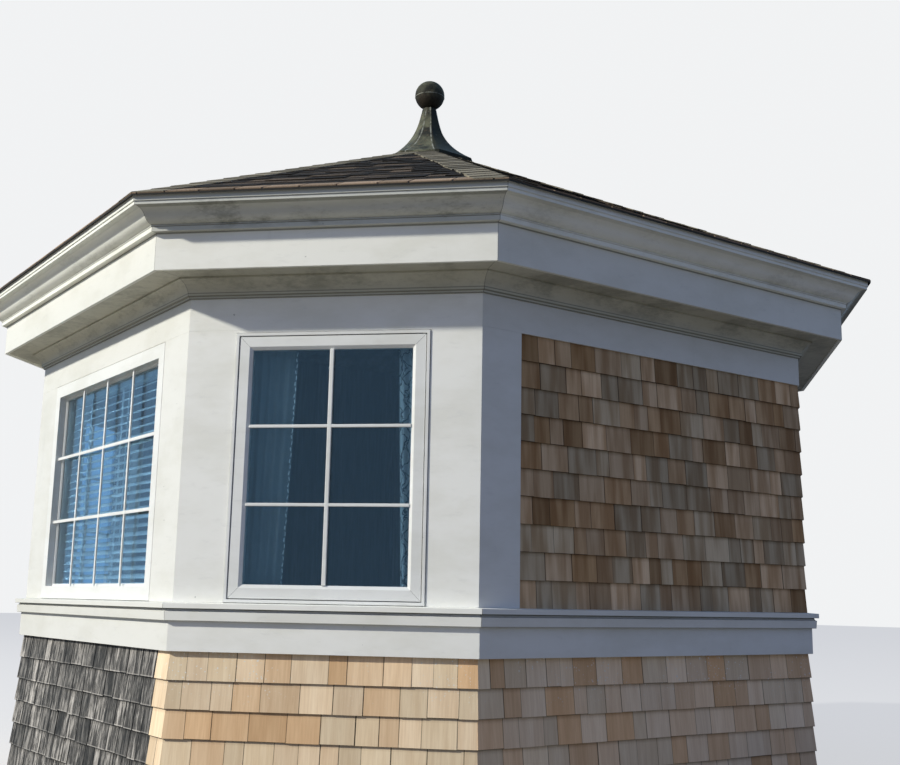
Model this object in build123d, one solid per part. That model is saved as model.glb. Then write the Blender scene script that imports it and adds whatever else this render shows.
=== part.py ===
from build123d import *
import os
from math import asin, atan2, cos, degrees, hypot, pi, radians, sin, sqrt, tan

# Shingled turret dormer: an octagonal room on a square plan with cut corners, with a low
# hipped roof, a moulded box cornice, a water table and a flared shingle skirt.
# Millimetres. The origin is the centre of the underside, +Z is up, and the front faces -Y.
# The long walls are called sides and the four across the cut corners are called corners.

# Plan
PLAN = 4267.0
CORNER_CUT = 1000.0

# Shingle courses
COURSE = 127.0
SKIRT_COURSE_COUNT = 6
WALL_COURSE_COUNT = 10
SHINGLE_BUTT = 13.0
SHINGLE_TIP = 7.0
SKIRT_FLARE = 24.0
SKIRT_SET_IN = 4.0

# Walls and boards
WALL_T = 165.0
BOARD_T = 19.0
CORNER_BOARD_W = 231.0

# Water table: board, apron moulding and cap, from the skirt up
TABLE_BOARD_H = 136.0
TABLE_BOARD_OUT = 20.0
APRON_H = 55.0
APRON_TOP_OUT = 46.0
APRON_FOOT_OUT = 42.0
APRON_COVE = 13.0
CAP_T = 28.0
CAP_OUT = 57.0
CAP_FALL = 4.0

# Cornice, from the frieze up
FRIEZE_H = 155.0
BED_H = 93.0
BED_OUT = 76.0
BED_FILLET_OUT = 10.0
BED_FILLET_H = 13.0
BED_LIP_OUT = 6.0
BED_LIP_H = 10.0
BED_BOW = 0.12
SOFFIT_T = 12.0
FASCIA_FACE = 230.0
FASCIA_T = 19.0
FASCIA_DRIP = 8.0
FASCIA_SHOW = 179.0
CROWN_H = 138.0
CROWN_OUT = 142.0
CROWN_FOOT_H = 22.0
CROWN_FOOT_OUT = 29.0
CROWN_FOOT_BEAD = 4.0
CROWN_DRIP_H = 27.0
CROWN_DRIP_OUT = 5.0
CROWN_LIP_H = 16.0
CROWN_LIP_OUT = 15.0
OGEE_BOW = 0.13

# Roof
ROOF_PITCH = 0.496
ROOF_FRAME_T = 168.0
ROOF_SHINGLE_T = 8.0
DRIP = 15.0
HIP_CAP_W = 310.0
HIP_CAP_PARTING = 4.0
HIP_CAP_T = 8.0
POST_R = 70.0
POST_DROP = 60.0

# Finial
BELL_FOOT_R = 317.0
BELL_NECK_R = 45.0
BELL_H = 418.0
BELL_TAPER = 0.3
BELL_SWEEP = 3.2
BELL_POINTS = 9
BELL_EDGE = 32.0
BALL_R = 103.0
BALL_SEAT = 3.0
SEAM_R = 3.0
SEAM_UP = 32.0
BALL_SIDES = 48
BALL_LOW_BANDS = 8
BALL_HIGH_BANDS = 6
BALL_TIP_R = 4.0

# Floor
SILL_ABOVE_FLOOR = 760.0
DECK_T = 22.0
JOIST_H = 184.0
JOIST_T = 38.0
JOIST_PITCH = 406.4

# Front window: flat casing flush with the boards, deep reveal, narrow sash
FRONT_SIDE_BOARD = 288.0
FRONT_HEAD_GAP = 0.0
FRONT_CASING_W = 73.0
FRONT_CASING_PROUD = 1.0
FRONT_GROOVE = 0.0
FRONT_SASH_W = 14.0
FRONT_SASH_BACK = 38.0
FRONT_BEAD_W = 5.0

# Corner windows: thin outer strip, open groove, wide sash with a sloped inner bead
CORNER_SIDE_BOARD = 239.0
CORNER_HEAD_GAP = 12.0
CORNER_CASING_W = 17.0
CORNER_CASING_PROUD = 6.0
CORNER_GROOVE = 4.0
CORNER_SASH_W = 64.0
CORNER_SASH_BACK = -2.0
CORNER_BEAD_W = 16.0

# Parts that all three windows share
JAMB_T = 17.0
CASING_JOINT = 2.5
STOP_W = 9.0
STOP_T = 12.0
SASH_T = 42.0
GLASS_T = 18.0
GLASS_BACK = 12.0
GLASS_BITE = 6.0

# Blind and curtains
BLIND_GAP = 8.0
BLIND_END_GAP = 3.0
SLAT_W = 50.0
SLAT_T = 3.0
SLAT_PITCH = 44.0
SLAT_TILT = 32.0
BLIND_RAIL_H = 38.0
TAPE_W = 25.0
TAPE_T = 2.0
TAPES = 3
ROD_R = 8.0
ROD_DROP = 30.0
CURTAIN_LEFT_W = 260.0
CURTAIN_RIGHT_W = 150.0
CURTAIN_T = 5.0
CURTAIN_WAVE = 16.0
CURTAIN_FOLD = 46.0
FOLD_STEPS = 6
CURTAIN_GAP = 0.3
CURTAIN_FOOT_GAP = 12.0
CURTAIN_END_GAP = 4.0
ROD_BACK = 105.0

# Angles of the turned walls
FRONT_CORNERS = (45, -45)
BACK_CORNERS = (135, 225)
RIGHT_SIDE, BACK_SIDE, LEFT_SIDE = 90, 180, 270

# Cuts run this far past what they cut
OVERCUT = 1.0

# Worked-out sizes
HALF = PLAN / 2
SIDE_HALF = HALF - CORNER_CUT
CORNER_HALF = CORNER_CUT / sqrt(2)
CORNER_DIST = (HALF + SIDE_HALF) / sqrt(2)
MITRE = tan(radians(22.5))
SKIRT_TOP = SKIRT_COURSE_COUNT * COURSE
TABLE_BOARD_TOP = SKIRT_TOP + TABLE_BOARD_H
SILL = TABLE_BOARD_TOP + APRON_H + CAP_T
FRIEZE_FOOT = SILL + WALL_COURSE_COUNT * COURSE
BED_FOOT = FRIEZE_FOOT + FRIEZE_H
SOFFIT = BED_FOOT + BED_H
FASCIA_FOOT = SOFFIT - FASCIA_DRIP
CROWN_FOOT = FASCIA_FOOT + FASCIA_SHOW
EAVE_Z = CROWN_FOOT + CROWN_H
EAVE_OUT = FASCIA_FACE + CROWN_OUT
WALL_OUT = -BOARD_T
WALL_IN = WALL_OUT - WALL_T
FLOOR_TOP = SILL - SILL_ABOVE_FLOOR
APEX_Z = EAVE_Z + ROOF_PITCH * (HALF + EAVE_OUT)
CLEAR_OUT = EAVE_OUT + 2 * DRIP
REACH = PLAN

SIDE = (HALF, SIDE_HALF)
CORNER = (CORNER_DIST, CORNER_HALF)
TURNS = (0, 90, 180, 270)


def octagon(out, z=0.0):
    """Corner points of the plan, moved outwards from the wall face by out, at height z."""
    far = HALF + out
    near = SIDE_HALF + out * MITRE
    first = [(-near, -far), (near, -far)]
    return [(x * cos(radians(a)) - y * sin(radians(a)), x * sin(radians(a)) + y * cos(radians(a)), z)
            for a in TURNS for x, y in first]


def turned(solid, angle):
    """A copy of the solid, turned about the vertical axis."""
    return Rot(0, 0, angle) * solid


def section_plane(distance):
    """Plane across a wall that faces -Y: local x is outwards from its face, local y is up."""
    return Plane(origin=(0, -distance, 0), x_dir=(0, -1, 0), z_dir=(-1, 0, 0))


def wedge(wall, low_out, high_out, start=None, end=None):
    """Plan prism of one wall between its two mitres, or between a stop and a mitre."""
    distance, half = wall
    left_in, left_out = -half - low_out * MITRE, -half - high_out * MITRE
    right_in, right_out = half + low_out * MITRE, half + high_out * MITRE
    if start is not None:
        left_in = left_out = start - half
    if end is not None:
        right_in = right_out = end - half
    points = [(left_in, -distance - low_out), (left_out, -distance - high_out),
              (right_out, -distance - high_out), (right_in, -distance - low_out)]
    return extrude(make_face(Polyline(*points, close=True)), amount=2 * REACH)


def run(section, wall, start=None, end=None):
    """A length of wall, board or moulding with the given section, mitred at its free ends."""
    bar = extrude(section_plane(wall[0]) * section, amount=REACH, both=True)
    limits = section.bounding_box()
    return bar & wedge(wall, limits.min.X, limits.max.X, start, end)


def polygon(points):
    return make_face(Polyline(*points, close=True))


def rectangle(low_out, high_out, low_z, high_z):
    return polygon([(low_out, low_z), (high_out, low_z), (high_out, high_z), (low_out, high_z)])


def four(solid, offset=0):
    """The same piece on all four sides, or on all four corners."""
    return [turned(solid, offset + a) for a in TURNS]


def under_roof(lift):
    """Everything below the eight roof planes, raised by lift, out past the eave's drip."""
    grow = (HALF + CLEAR_OUT) / (HALF + EAVE_OUT)
    foot_z = APEX_Z + lift - ROOF_PITCH * (HALF + CLEAR_OUT)
    rim = [(x * grow, y * grow) for x, y, z in octagon(EAVE_OUT)]
    raised = [(x, y, foot_z) for x, y in rim]
    apex = (0, 0, APEX_Z + lift)
    faces = [Face(Wire.make_polygon([raised[i], raised[(i + 1) % 8], apex])) for i in range(8)]
    faces.append(Face(Wire.make_polygon(raised)))
    return Solid(Shell(faces)) + extrude(polygon(rim), amount=foot_z)


def sector(index):
    """Plan prism between two neighbouring hips; index 0 is the front."""
    grow = (HALF + CLEAR_OUT) / (HALF + EAVE_OUT)
    rim = [(x * grow, y * grow) for x, y, z in octagon(EAVE_OUT)]
    a, b = rim[index], rim[(index + 1) % 8]
    return extrude(polygon([(0, 0), a, b]), amount=2 * REACH)


def octagon_prism(out, low, high):
    return Pos(0, 0, low) * extrude(polygon([p[:2] for p in octagon(out)]), amount=high - low)


DECK_PLANES = under_roof(0)
FRAME_T_UP = ROOF_FRAME_T * sqrt(1 + ROOF_PITCH ** 2)
CEILING_PLANES = under_roof(-FRAME_T_UP)
SHINGLE_PLANES = under_roof(ROOF_SHINGLE_T)

nodes = {}


def add(name, solids):
    """Keep the solids of one node."""
    nodes[name] = Compound(children=[s for item in solids for s in item.solids()])


# Windows: each is the outline of its casing on one wall, and the sizes of its frame and sash

class Window:
    def __init__(self, wall, side_board, head_gap, casing_w, proud, groove, sash_w, sash_back, bead):
        self.distance, half = wall
        self.width = 2 * (half - side_board)
        self.height = FRIEZE_FOOT - head_gap - SILL
        self.casing_w = casing_w
        self.jamb_in = casing_w - JAMB_T
        self.proud = proud
        self.sash_in = casing_w + groove
        self.glass_in = self.sash_in + sash_w
        self.sash_face = -sash_back
        self.sash_rear = -sash_back - SASH_T
        self.bead = bead

    def outline(self, inset, out):
        """The outline drawn in by inset on all four edges, at the offset out from the wall face."""
        place = Plane(origin=(0, -self.distance - out, SILL + self.height / 2),
                      x_dir=(1, 0, 0), z_dir=(0, -1, 0))
        return place * Rectangle(self.width - 2 * inset, self.height - 2 * inset)

    def block(self, inset, low_out, high_out):
        """Box through the wall between two offsets from its face."""
        return extrude(self.outline(inset, low_out), amount=high_out - low_out)

    def ring(self, outer, inner, low_out, high_out):
        """A mitred frame between two insets from the outline."""
        return self.block(outer, low_out, high_out) - self.block(inner, low_out - OVERCUT,
                                                                 high_out + OVERCUT)


FRONT_WINDOW = Window(SIDE, FRONT_SIDE_BOARD, FRONT_HEAD_GAP, FRONT_CASING_W, FRONT_CASING_PROUD,
                      FRONT_GROOVE, FRONT_SASH_W, FRONT_SASH_BACK, FRONT_BEAD_W)
CORNER_WINDOW = Window(CORNER, CORNER_SIDE_BOARD, CORNER_HEAD_GAP, CORNER_CASING_W,
                       CORNER_CASING_PROUD, CORNER_GROOVE, CORNER_SASH_W, CORNER_SASH_BACK,
                       CORNER_BEAD_W)

# Walls


def wall_body(wall):
    return run(rectangle(WALL_IN, WALL_OUT, 0, APEX_Z), wall) & CEILING_PLANES


def opened(wall, window):
    """The wall with its window cut through."""
    return wall_body(wall) - window.block(window.jamb_in, WALL_IN - OVERCUT, WALL_OUT + OVERCUT)


side_wall = wall_body(SIDE)
corner_wall = wall_body(CORNER)
corner_window_wall = opened(CORNER, CORNER_WINDOW)
add("front_wall", [opened(SIDE, FRONT_WINDOW)])
add("front_corner_walls", [turned(corner_window_wall, a) for a in FRONT_CORNERS])
add("side_walls", [turned(side_wall, a) for a in (RIGHT_SIDE, LEFT_SIDE)])
add("back_corner_walls", [turned(corner_wall, a) for a in BACK_CORNERS])
add("back_wall", [turned(side_wall, BACK_SIDE)])

# Flat boards beside the windows, and the corner boards of the shingled sides

board_section = rectangle(WALL_OUT, 0, SILL, FRIEZE_FOOT)
add("front_boards", [run(board_section, SIDE, end=FRONT_SIDE_BOARD),
                     run(board_section, SIDE, start=2 * SIDE_HALF - FRONT_SIDE_BOARD)])
head_section = rectangle(WALL_OUT, 0, FRIEZE_FOOT - CORNER_HEAD_GAP, FRIEZE_FOOT)
corner_boards = (run(board_section, CORNER, end=CORNER_SIDE_BOARD)
                 + run(board_section, CORNER, start=2 * CORNER_HALF - CORNER_SIDE_BOARD)
                 + run(head_section, CORNER, start=CORNER_SIDE_BOARD,
                       end=2 * CORNER_HALF - CORNER_SIDE_BOARD))
add("front_corner_boards", [turned(corner_boards, a) for a in FRONT_CORNERS])
right_end_board = run(board_section, SIDE, end=CORNER_BOARD_W)
left_end_board = run(board_section, SIDE, start=2 * SIDE_HALF - CORNER_BOARD_W)
add("side_end_boards", [turned(right_end_board, RIGHT_SIDE), turned(left_end_board, LEFT_SIDE)])


# Shingles on the walls and on the skirt

def shingle_section(foot, courses, batter, butt, tip):
    """Overlapping courses: each swells from its tip to its butt, and the face leans by batter."""
    total = courses * COURSE
    points = [(WALL_OUT, foot)]
    for row in range(courses):
        low, high = row * COURSE, (row + 1) * COURSE
        lean_low, lean_high = batter * (1 - low / total), batter * (1 - high / total)
        points.append((WALL_OUT + butt + lean_low, foot + low))
        points.append((WALL_OUT + tip + lean_high, foot + high))
    points.append((WALL_OUT, foot + total))
    return polygon(points)


wall_shingles = shingle_section(SILL, WALL_COURSE_COUNT, 0, SHINGLE_BUTT, SHINGLE_TIP)
right_shingles = run(wall_shingles, SIDE, start=CORNER_BOARD_W)
left_shingles = run(wall_shingles, SIDE, end=2 * SIDE_HALF - CORNER_BOARD_W)
add("wall_shingles_sides", [turned(right_shingles, RIGHT_SIDE), turned(left_shingles, LEFT_SIDE),
                            turned(run(wall_shingles, SIDE), BACK_SIDE)])
add("wall_shingles_corners", [turned(run(wall_shingles, CORNER), a) for a in BACK_CORNERS])

skirt_face = BOARD_T - SKIRT_SET_IN
skirt_shingles = shingle_section(0, SKIRT_COURSE_COUNT, SKIRT_FLARE, skirt_face + SHINGLE_TIP / 2,
                                 skirt_face - SHINGLE_TIP / 2)
side_skirt = run(skirt_shingles, SIDE)
add("front_skirt_shingles", [side_skirt])
add("skirt_shingles_sides", [turned(side_skirt, a) for a in TURNS[1:]])
add("skirt_shingles_corners", four(run(skirt_shingles, CORNER), 45))


# Mouldings and boards that run round all eight walls

def add_ring(name, section, trim=None):
    """A run of the section on every wall, in one node for the sides and one for the corners."""
    side = run(section, SIDE)
    corner = run(section, CORNER)
    if trim is not None:
        side = side & trim
        corner = turned(turned(corner, 45) & trim, -45)
    add(name + "_sides", four(side))
    add(name + "_corners", four(corner, 45))


def apron_section():
    """Board with a cove along its top edge."""
    foot, top = TABLE_BOARD_TOP, TABLE_BOARD_TOP + APRON_H
    cove_foot = (APRON_TOP_OUT, top - APRON_COVE)
    cove_top = (APRON_TOP_OUT - APRON_COVE, top)
    cove = RadiusArc(cove_foot, cove_top, APRON_COVE)
    rest = Polyline(cove_top, (WALL_OUT, top), (WALL_OUT, foot), (APRON_FOOT_OUT, foot), cove_foot)
    return make_face(cove.edges() + rest.edges())


def cap_section():
    foot = SILL - CAP_T
    return polygon([(WALL_OUT, foot), (CAP_OUT, foot), (CAP_OUT, SILL - CAP_FALL), (0, SILL),
                    (WALL_OUT, SILL)])


def bed_section():
    """Cove over two small fillets, with a lip under the soffit."""
    foot, top = BED_FOOT, SOFFIT
    first, second = BED_FILLET_OUT, 2 * BED_FILLET_OUT
    cove_foot = (second, foot + 2 * BED_FILLET_H)
    cove_top = (BED_OUT - BED_LIP_OUT, top - BED_LIP_H)
    cove = ThreePointArc(cove_foot, bowed(cove_foot, cove_top, BED_BOW), cove_top)
    rest = Polyline(cove_top, (BED_OUT, cove_top[1]), (BED_OUT, top), (0, top), (0, foot), (first, foot),
                    (first, foot + BED_FILLET_H), (second, foot + BED_FILLET_H), cove_foot)
    return make_face(cove.edges() + rest.edges())


def bowed(low, high, bow):
    """Middle point of an arc that bows in towards the wall by a share of its chord."""
    middle = ((low[0] + high[0]) / 2, (low[1] + high[1]) / 2)
    across = (-(high[1] - low[1]), high[0] - low[0])
    return (middle[0] + across[0] * bow, middle[1] + across[1] * bow)


def crown_section():
    """Foot fillet with a bead, ogee, lip and drip, with a back that fills up to the roof planes."""
    foot = (FASCIA_FACE, CROWN_FOOT)
    face = FASCIA_FACE + CROWN_FOOT_OUT
    bead_foot = (face, CROWN_FOOT + CROWN_FOOT_H)
    bead_top = (face, bead_foot[1] + 2 * CROWN_FOOT_BEAD)
    bead = ThreePointArc(bead_foot, (face + CROWN_FOOT_BEAD, bead_foot[1] + CROWN_FOOT_BEAD), bead_top)
    drip_foot = (EAVE_OUT, EAVE_Z - CROWN_DRIP_H)
    lip_top = (EAVE_OUT - CROWN_DRIP_OUT, drip_foot[1])
    lip_foot = (lip_top[0], lip_top[1] - CROWN_LIP_H)
    ogee_top = (lip_foot[0] - CROWN_LIP_OUT, lip_foot[1])
    turn = ((bead_top[0] + ogee_top[0]) / 2, (bead_top[1] + ogee_top[1]) / 2)
    lower = ThreePointArc(bead_top, bowed(bead_top, turn, -OGEE_BOW), turn)
    upper = ThreePointArc(turn, bowed(turn, ogee_top, OGEE_BOW), ogee_top)
    rest = Polyline(ogee_top, lip_foot, lip_top, drip_foot, (EAVE_OUT, APEX_Z), (FASCIA_FACE, APEX_Z),
                    foot, (face, CROWN_FOOT), bead_foot)
    return make_face(bead.edges() + lower.edges() + upper.edges() + rest.edges())


add_ring("water_table_board", rectangle(WALL_OUT, TABLE_BOARD_OUT, SKIRT_TOP, TABLE_BOARD_TOP))
add_ring("water_table_apron", apron_section())
add_ring("water_table_cap", cap_section())
add_ring("frieze_board", rectangle(WALL_OUT, 0, FRIEZE_FOOT, SOFFIT))
add_ring("bed_moulding", bed_section())
add_ring("soffit_board", rectangle(WALL_OUT, FASCIA_FACE - FASCIA_T, SOFFIT, SOFFIT + SOFFIT_T))
add_ring("fascia_board", rectangle(FASCIA_FACE - FASCIA_T, FASCIA_FACE, FASCIA_FOOT, APEX_Z),
         DECK_PLANES)
add_ring("crown_moulding", crown_section(), DECK_PLANES)

# Roof: framed panels, shingle layer, hip caps and the post where the hips meet

post = Pos(0, 0, APEX_Z - FRAME_T_UP - POST_DROP) * extrude(
    RegularPolygon(POST_R, 8, rotation=22.5), amount=FRAME_T_UP + POST_DROP + ROOF_SHINGLE_T)
post = post & SHINGLE_PLANES
roof_frame = (DECK_PLANES - CEILING_PLANES) & octagon_prism(FASCIA_FACE - FASCIA_T, 0, 2 * REACH)
roof_frame = roof_frame - post
roof_cover = (SHINGLE_PLANES - DECK_PLANES) & octagon_prism(EAVE_OUT + DRIP, 0, 2 * REACH)
roof_cover = roof_cover - post
add("roof_post", [post])
add("roof_frame_sides", [roof_frame & sector(i) for i in (0, 2, 4, 6)])
add("roof_frame_corners", [roof_frame & sector(i) for i in (1, 3, 5, 7)])
add("roof_shingles_sides", [roof_cover & sector(i) for i in (0, 2, 4, 6)])
add("roof_shingles_corners", [roof_cover & sector(i) for i in (1, 3, 5, 7)])


def hip_cap(index):
    """Folded strip along one hip, from the bell's foot to the eave, mitred with its neighbours."""
    x, y, z = octagon(EAVE_OUT)[index]
    bearing = degrees(atan2(y, x))
    reach = hypot(x, y) + DRIP
    length = reach - BELL_FOOT_R
    strip = Pos(BELL_FOOT_R + length / 2, 0, REACH) * Box(length, HIP_CAP_W, 2 * REACH)
    spread = reach - HIP_CAP_PARTING
    left, right = tan(radians(45 - bearing % 45)), tan(radians(bearing % 45))
    share = polygon([(HIP_CAP_PARTING, 0), (reach, -spread * right), (reach, spread * left)])
    strip = strip & extrude(share, amount=2 * REACH)
    return cap_layer & (Rot(0, 0, bearing) * strip)


cap_layer = (under_roof(ROOF_SHINGLE_T + HIP_CAP_T) - SHINGLE_PLANES) & octagon_prism(
    EAVE_OUT + DRIP, 0, 2 * REACH)
hip_caps = [hip_cap(i) for i in range(8)]
add("hip_caps", hip_caps)

# Finial: an eight-sided bell scribed over the hips, and a ball in narrow flats with a raised seam

BELL_EDGE_TOP = APEX_Z + ROOF_SHINGLE_T - ROOF_PITCH * BELL_FOOT_R + BELL_EDGE
BELL_TOP = BELL_EDGE_TOP + BELL_H


def bell_slab():
    """The bell's profile between two opposite faces, carried through in the other direction."""
    curve = []
    for i in range(BELL_POINTS):
        t = i / (BELL_POINTS - 1)
        swell = BELL_TAPER * t + (1 - BELL_TAPER) * t ** BELL_SWEEP
        curve.append((BELL_NECK_R + (BELL_FOOT_R - BELL_NECK_R) * swell, BELL_TOP - BELL_H * t))
    right = Spline(*curve)
    left = Spline(*[(-x, z) for x, z in curve])
    foot_z = APEX_Z - BELL_FOOT_R
    edge = Polyline(curve[-1], (BELL_FOOT_R, foot_z), (-BELL_FOOT_R, foot_z), (-BELL_FOOT_R, curve[-1][1]))
    top = Line((-BELL_NECK_R, BELL_TOP), (BELL_NECK_R, BELL_TOP))
    profile = Plane.XZ * make_face(right.edges() + left.edges() + edge.edges() + top.edges())
    return extrude(profile, amount=BELL_FOOT_R * 2, both=True)


slab = bell_slab()
bell = slab & turned(slab, 45) & turned(slab, 90) & turned(slab, 135)
bell = bell - SHINGLE_PLANES
for cap in hip_caps:
    bell = bell - cap
add("finial_bell", [bell])


def ball_rings(low, high, bands):
    """Radius and height of the ball's outline at even steps between two heights, as (r, z)."""
    start, end = asin(low / BALL_R), asin(high / BALL_R)
    angles = [start + (end - start) * i / bands for i in range(bands + 1)]
    return [(BALL_R * cos(a), BALL_R * sin(a)) for a in angles]


def ball_band(low_r, low_z, high_r, high_z):
    """One tapered slice of the ball between two rings."""
    taper = degrees(atan2((low_r - high_r) * cos(pi / BALL_SIDES), high_z - low_z))
    return extrude(Pos(0, 0, low_z) * RegularPolygon(low_r, BALL_SIDES), amount=high_z - low_z, taper=taper)


rings = ball_rings(BALL_SEAT - BALL_R, SEAM_UP - SEAM_R, BALL_LOW_BANDS)
rings += [(sqrt(BALL_R ** 2 - SEAM_UP ** 2) + SEAM_R, SEAM_UP)]
rings += ball_rings(SEAM_UP + SEAM_R, sqrt(BALL_R ** 2 - BALL_TIP_R ** 2), BALL_HIGH_BANDS)
ball = Part() + [ball_band(*low, *high) for low, high in zip(rings, rings[1:])]
add("finial_ball", [Pos(0, 0, BELL_TOP + BALL_R - BALL_SEAT) * ball])

# Floor

deck = octagon_prism(WALL_IN, FLOOR_TOP - DECK_T, FLOOR_TOP)
add("floor_deck", [deck])
joist_space = octagon_prism(WALL_IN, FLOOR_TOP - DECK_T - JOIST_H, FLOOR_TOP - DECK_T)
joist_rows = int((HALF + WALL_IN - JOIST_T) / JOIST_PITCH)
joists = [joist_space & (Pos(row * JOIST_PITCH, 0, REACH) * Box(JOIST_T, 2 * REACH, 2 * REACH))
          for row in range(-joist_rows, joist_rows + 1)]
add("floor_joists", joists)


# Windows

def on_windows(make):
    """The piece made for the front window and for both corner windows."""
    return [make(FRONT_WINDOW)] + [turned(make(CORNER_WINDOW), a) for a in FRONT_CORNERS]


def frame_piece(window):
    """Casing in the plane of the boards, jamb through the wall, and the stop behind the sash."""
    casing = window.ring(CASING_JOINT, window.casing_w, WALL_OUT, window.proud)
    jamb = window.ring(window.jamb_in, window.casing_w, WALL_IN, WALL_OUT)
    stop = window.ring(window.casing_w, window.sash_in + STOP_W, window.sash_rear - STOP_T,
                       window.sash_rear)
    return casing + jamb + stop


def sash_piece(window):
    """Sash with its inner edge sloped towards the glass, and a groove that holds the pane."""
    body = window.block(window.sash_in, window.sash_rear, window.sash_face)
    opening = window.block(window.glass_in, window.sash_rear - OVERCUT, window.sash_face + OVERCUT)
    slope = loft([window.outline(window.glass_in, window.sash_face - GLASS_BACK),
                  window.outline(window.glass_in - window.bead, window.sash_face)])
    return body - opening - slope - glass_piece(window)


def glass_piece(window):
    front = window.sash_face - GLASS_BACK
    return window.block(window.glass_in - GLASS_BITE, front - GLASS_T, front)


add("window_frames", on_windows(frame_piece))
add("window_sashes", on_windows(sash_piece))
add("window_glass", on_windows(glass_piece))

# Slatted blind in the front window

blind_out = FRONT_WINDOW.sash_rear - STOP_T - BLIND_GAP
blind_y = -HALF - blind_out + SLAT_W / 2
blind_low = SILL + FRONT_WINDOW.casing_w
blind_high = SILL + FRONT_WINDOW.height - FRONT_WINDOW.casing_w
slat_len = FRONT_WINDOW.width - 2 * (FRONT_WINDOW.casing_w + BLIND_END_GAP)
head_rail = Pos(0, blind_y, blind_high - BLIND_RAIL_H / 2) * Box(slat_len, SLAT_W, BLIND_RAIL_H)
foot_rail = Pos(0, blind_y, blind_low + BLIND_RAIL_H / 4) * Box(slat_len, SLAT_W, BLIND_RAIL_H / 2)
slat_rows = int((blind_high - blind_low - 1.5 * BLIND_RAIL_H) / SLAT_PITCH)
slat = Rot(SLAT_TILT, 0, 0) * Box(slat_len, SLAT_W, SLAT_T)
slats = [Pos(0, blind_y, blind_high - BLIND_RAIL_H - SLAT_PITCH * (row + 0.5)) * slat
         for row in range(slat_rows)]
tape_gap = slat_len / TAPES
tapes = [Pos((t - (TAPES - 1) / 2) * tape_gap, blind_y, (blind_low + blind_high) / 2) * Box(
    TAPE_W, TAPE_T, blind_high - blind_low) for t in range(TAPES)]
add("front_blind", [Part() + [head_rail, foot_rail] + slats + tapes])

# Curtains on rods in the corner windows

rod_y = -CORNER_DIST + ROD_BACK
rod_z = SILL + CORNER_WINDOW.height - CORNER_WINDOW.casing_w - ROD_DROP
rod_len = CORNER_WINDOW.width - 2 * CORNER_WINDOW.casing_w
rod = Pos(0, rod_y, rod_z) * Rot(0, 90, 0) * Cylinder(ROD_R, rod_len)
add("curtain_rods", [turned(rod, a) for a in FRONT_CORNERS])


def curtain(start, width):
    """A hanging panel with even folds, as a closed sheet of real thickness."""
    steps = int(width / CURTAIN_FOLD * FOLD_STEPS)
    line = [(start + width * i / steps, CURTAIN_WAVE * sin(2 * pi * width * i / steps / CURTAIN_FOLD))
            for i in range(steps + 1)]
    front = [(x, rod_y + y - CURTAIN_T / 2) for x, y in line]
    back = [(x, rod_y + y + CURTAIN_T / 2) for x, y in reversed(line)]
    low = SILL + CORNER_WINDOW.casing_w + CURTAIN_FOOT_GAP
    high = rod_z - ROD_R - CURTAIN_GAP
    return Pos(0, 0, low) * extrude(polygon(front + back), amount=high - low)


curtain_left = curtain(-rod_len / 2 + CURTAIN_END_GAP, CURTAIN_LEFT_W)
curtain_right = curtain(rod_len / 2 - CURTAIN_END_GAP - CURTAIN_RIGHT_W, CURTAIN_RIGHT_W)
add("curtains", [turned(piece, a) for a in FRONT_CORNERS for piece in (curtain_left, curtain_right)])

for name, shape in nodes.items():
    export_step(shape, "parts/" + name + ".step")
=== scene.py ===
"""Looks of the shingled turret dormer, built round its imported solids.

Metres, in the part's own frame: the origin is the centre of the underside, +Z is up and the
front faces -Y. The eight walls are numbered from the front, anticlockwise seen from above, so
wall 1 is the cut corner to the right of the front and wall 2 is the right side.
"""
import random
from contextlib import contextmanager
from math import atan, atan2, ceil, cos, pi, radians, sin, sqrt, tan

import bpy
from bpy.props import FloatProperty, FloatVectorProperty, IntProperty, PointerProperty
from mathutils import Matrix, Vector


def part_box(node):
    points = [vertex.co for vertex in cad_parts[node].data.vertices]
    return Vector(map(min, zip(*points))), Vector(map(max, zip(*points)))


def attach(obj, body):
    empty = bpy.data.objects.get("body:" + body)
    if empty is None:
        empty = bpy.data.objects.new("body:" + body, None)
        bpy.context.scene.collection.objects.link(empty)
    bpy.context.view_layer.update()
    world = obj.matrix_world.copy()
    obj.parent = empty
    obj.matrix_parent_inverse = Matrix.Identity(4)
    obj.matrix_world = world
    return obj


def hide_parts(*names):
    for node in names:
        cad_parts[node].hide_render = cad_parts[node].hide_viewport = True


bl_info = {
    "name": "Shingled Turret Dormer",
    "version": (1, 0, 0),
    "blender": (4, 5, 0),
    "location": "3D Viewport > Sidebar > Dormer",
    "description": "Shingles, window bars, curtains and finishes of an octagonal turret dormer",
    "category": "Add Mesh",
}

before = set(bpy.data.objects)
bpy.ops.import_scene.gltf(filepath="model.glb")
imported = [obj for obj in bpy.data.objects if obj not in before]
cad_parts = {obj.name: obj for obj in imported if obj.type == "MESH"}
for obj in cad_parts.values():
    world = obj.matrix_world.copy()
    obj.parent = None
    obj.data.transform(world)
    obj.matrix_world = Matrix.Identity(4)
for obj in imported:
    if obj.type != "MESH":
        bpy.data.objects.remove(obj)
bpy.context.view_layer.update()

# The eight walls
FRONT, RIGHT_CORNER, RIGHT, LEFT, LEFT_CORNER = 0, 1, 2, 6, 7
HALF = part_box("frieze_board_sides")[1].x
SIDE_HALF = (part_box("front_boards")[1].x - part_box("front_boards")[0].x) / 2
CORNER_HALF = (HALF - SIDE_HALF) / sqrt(2)
CORNER_DISTANCE = (HALF + SIDE_HALF) / sqrt(2)
MITRE_ANGLE = radians(22.5)
MITRE = tan(MITRE_ANGLE)

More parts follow.
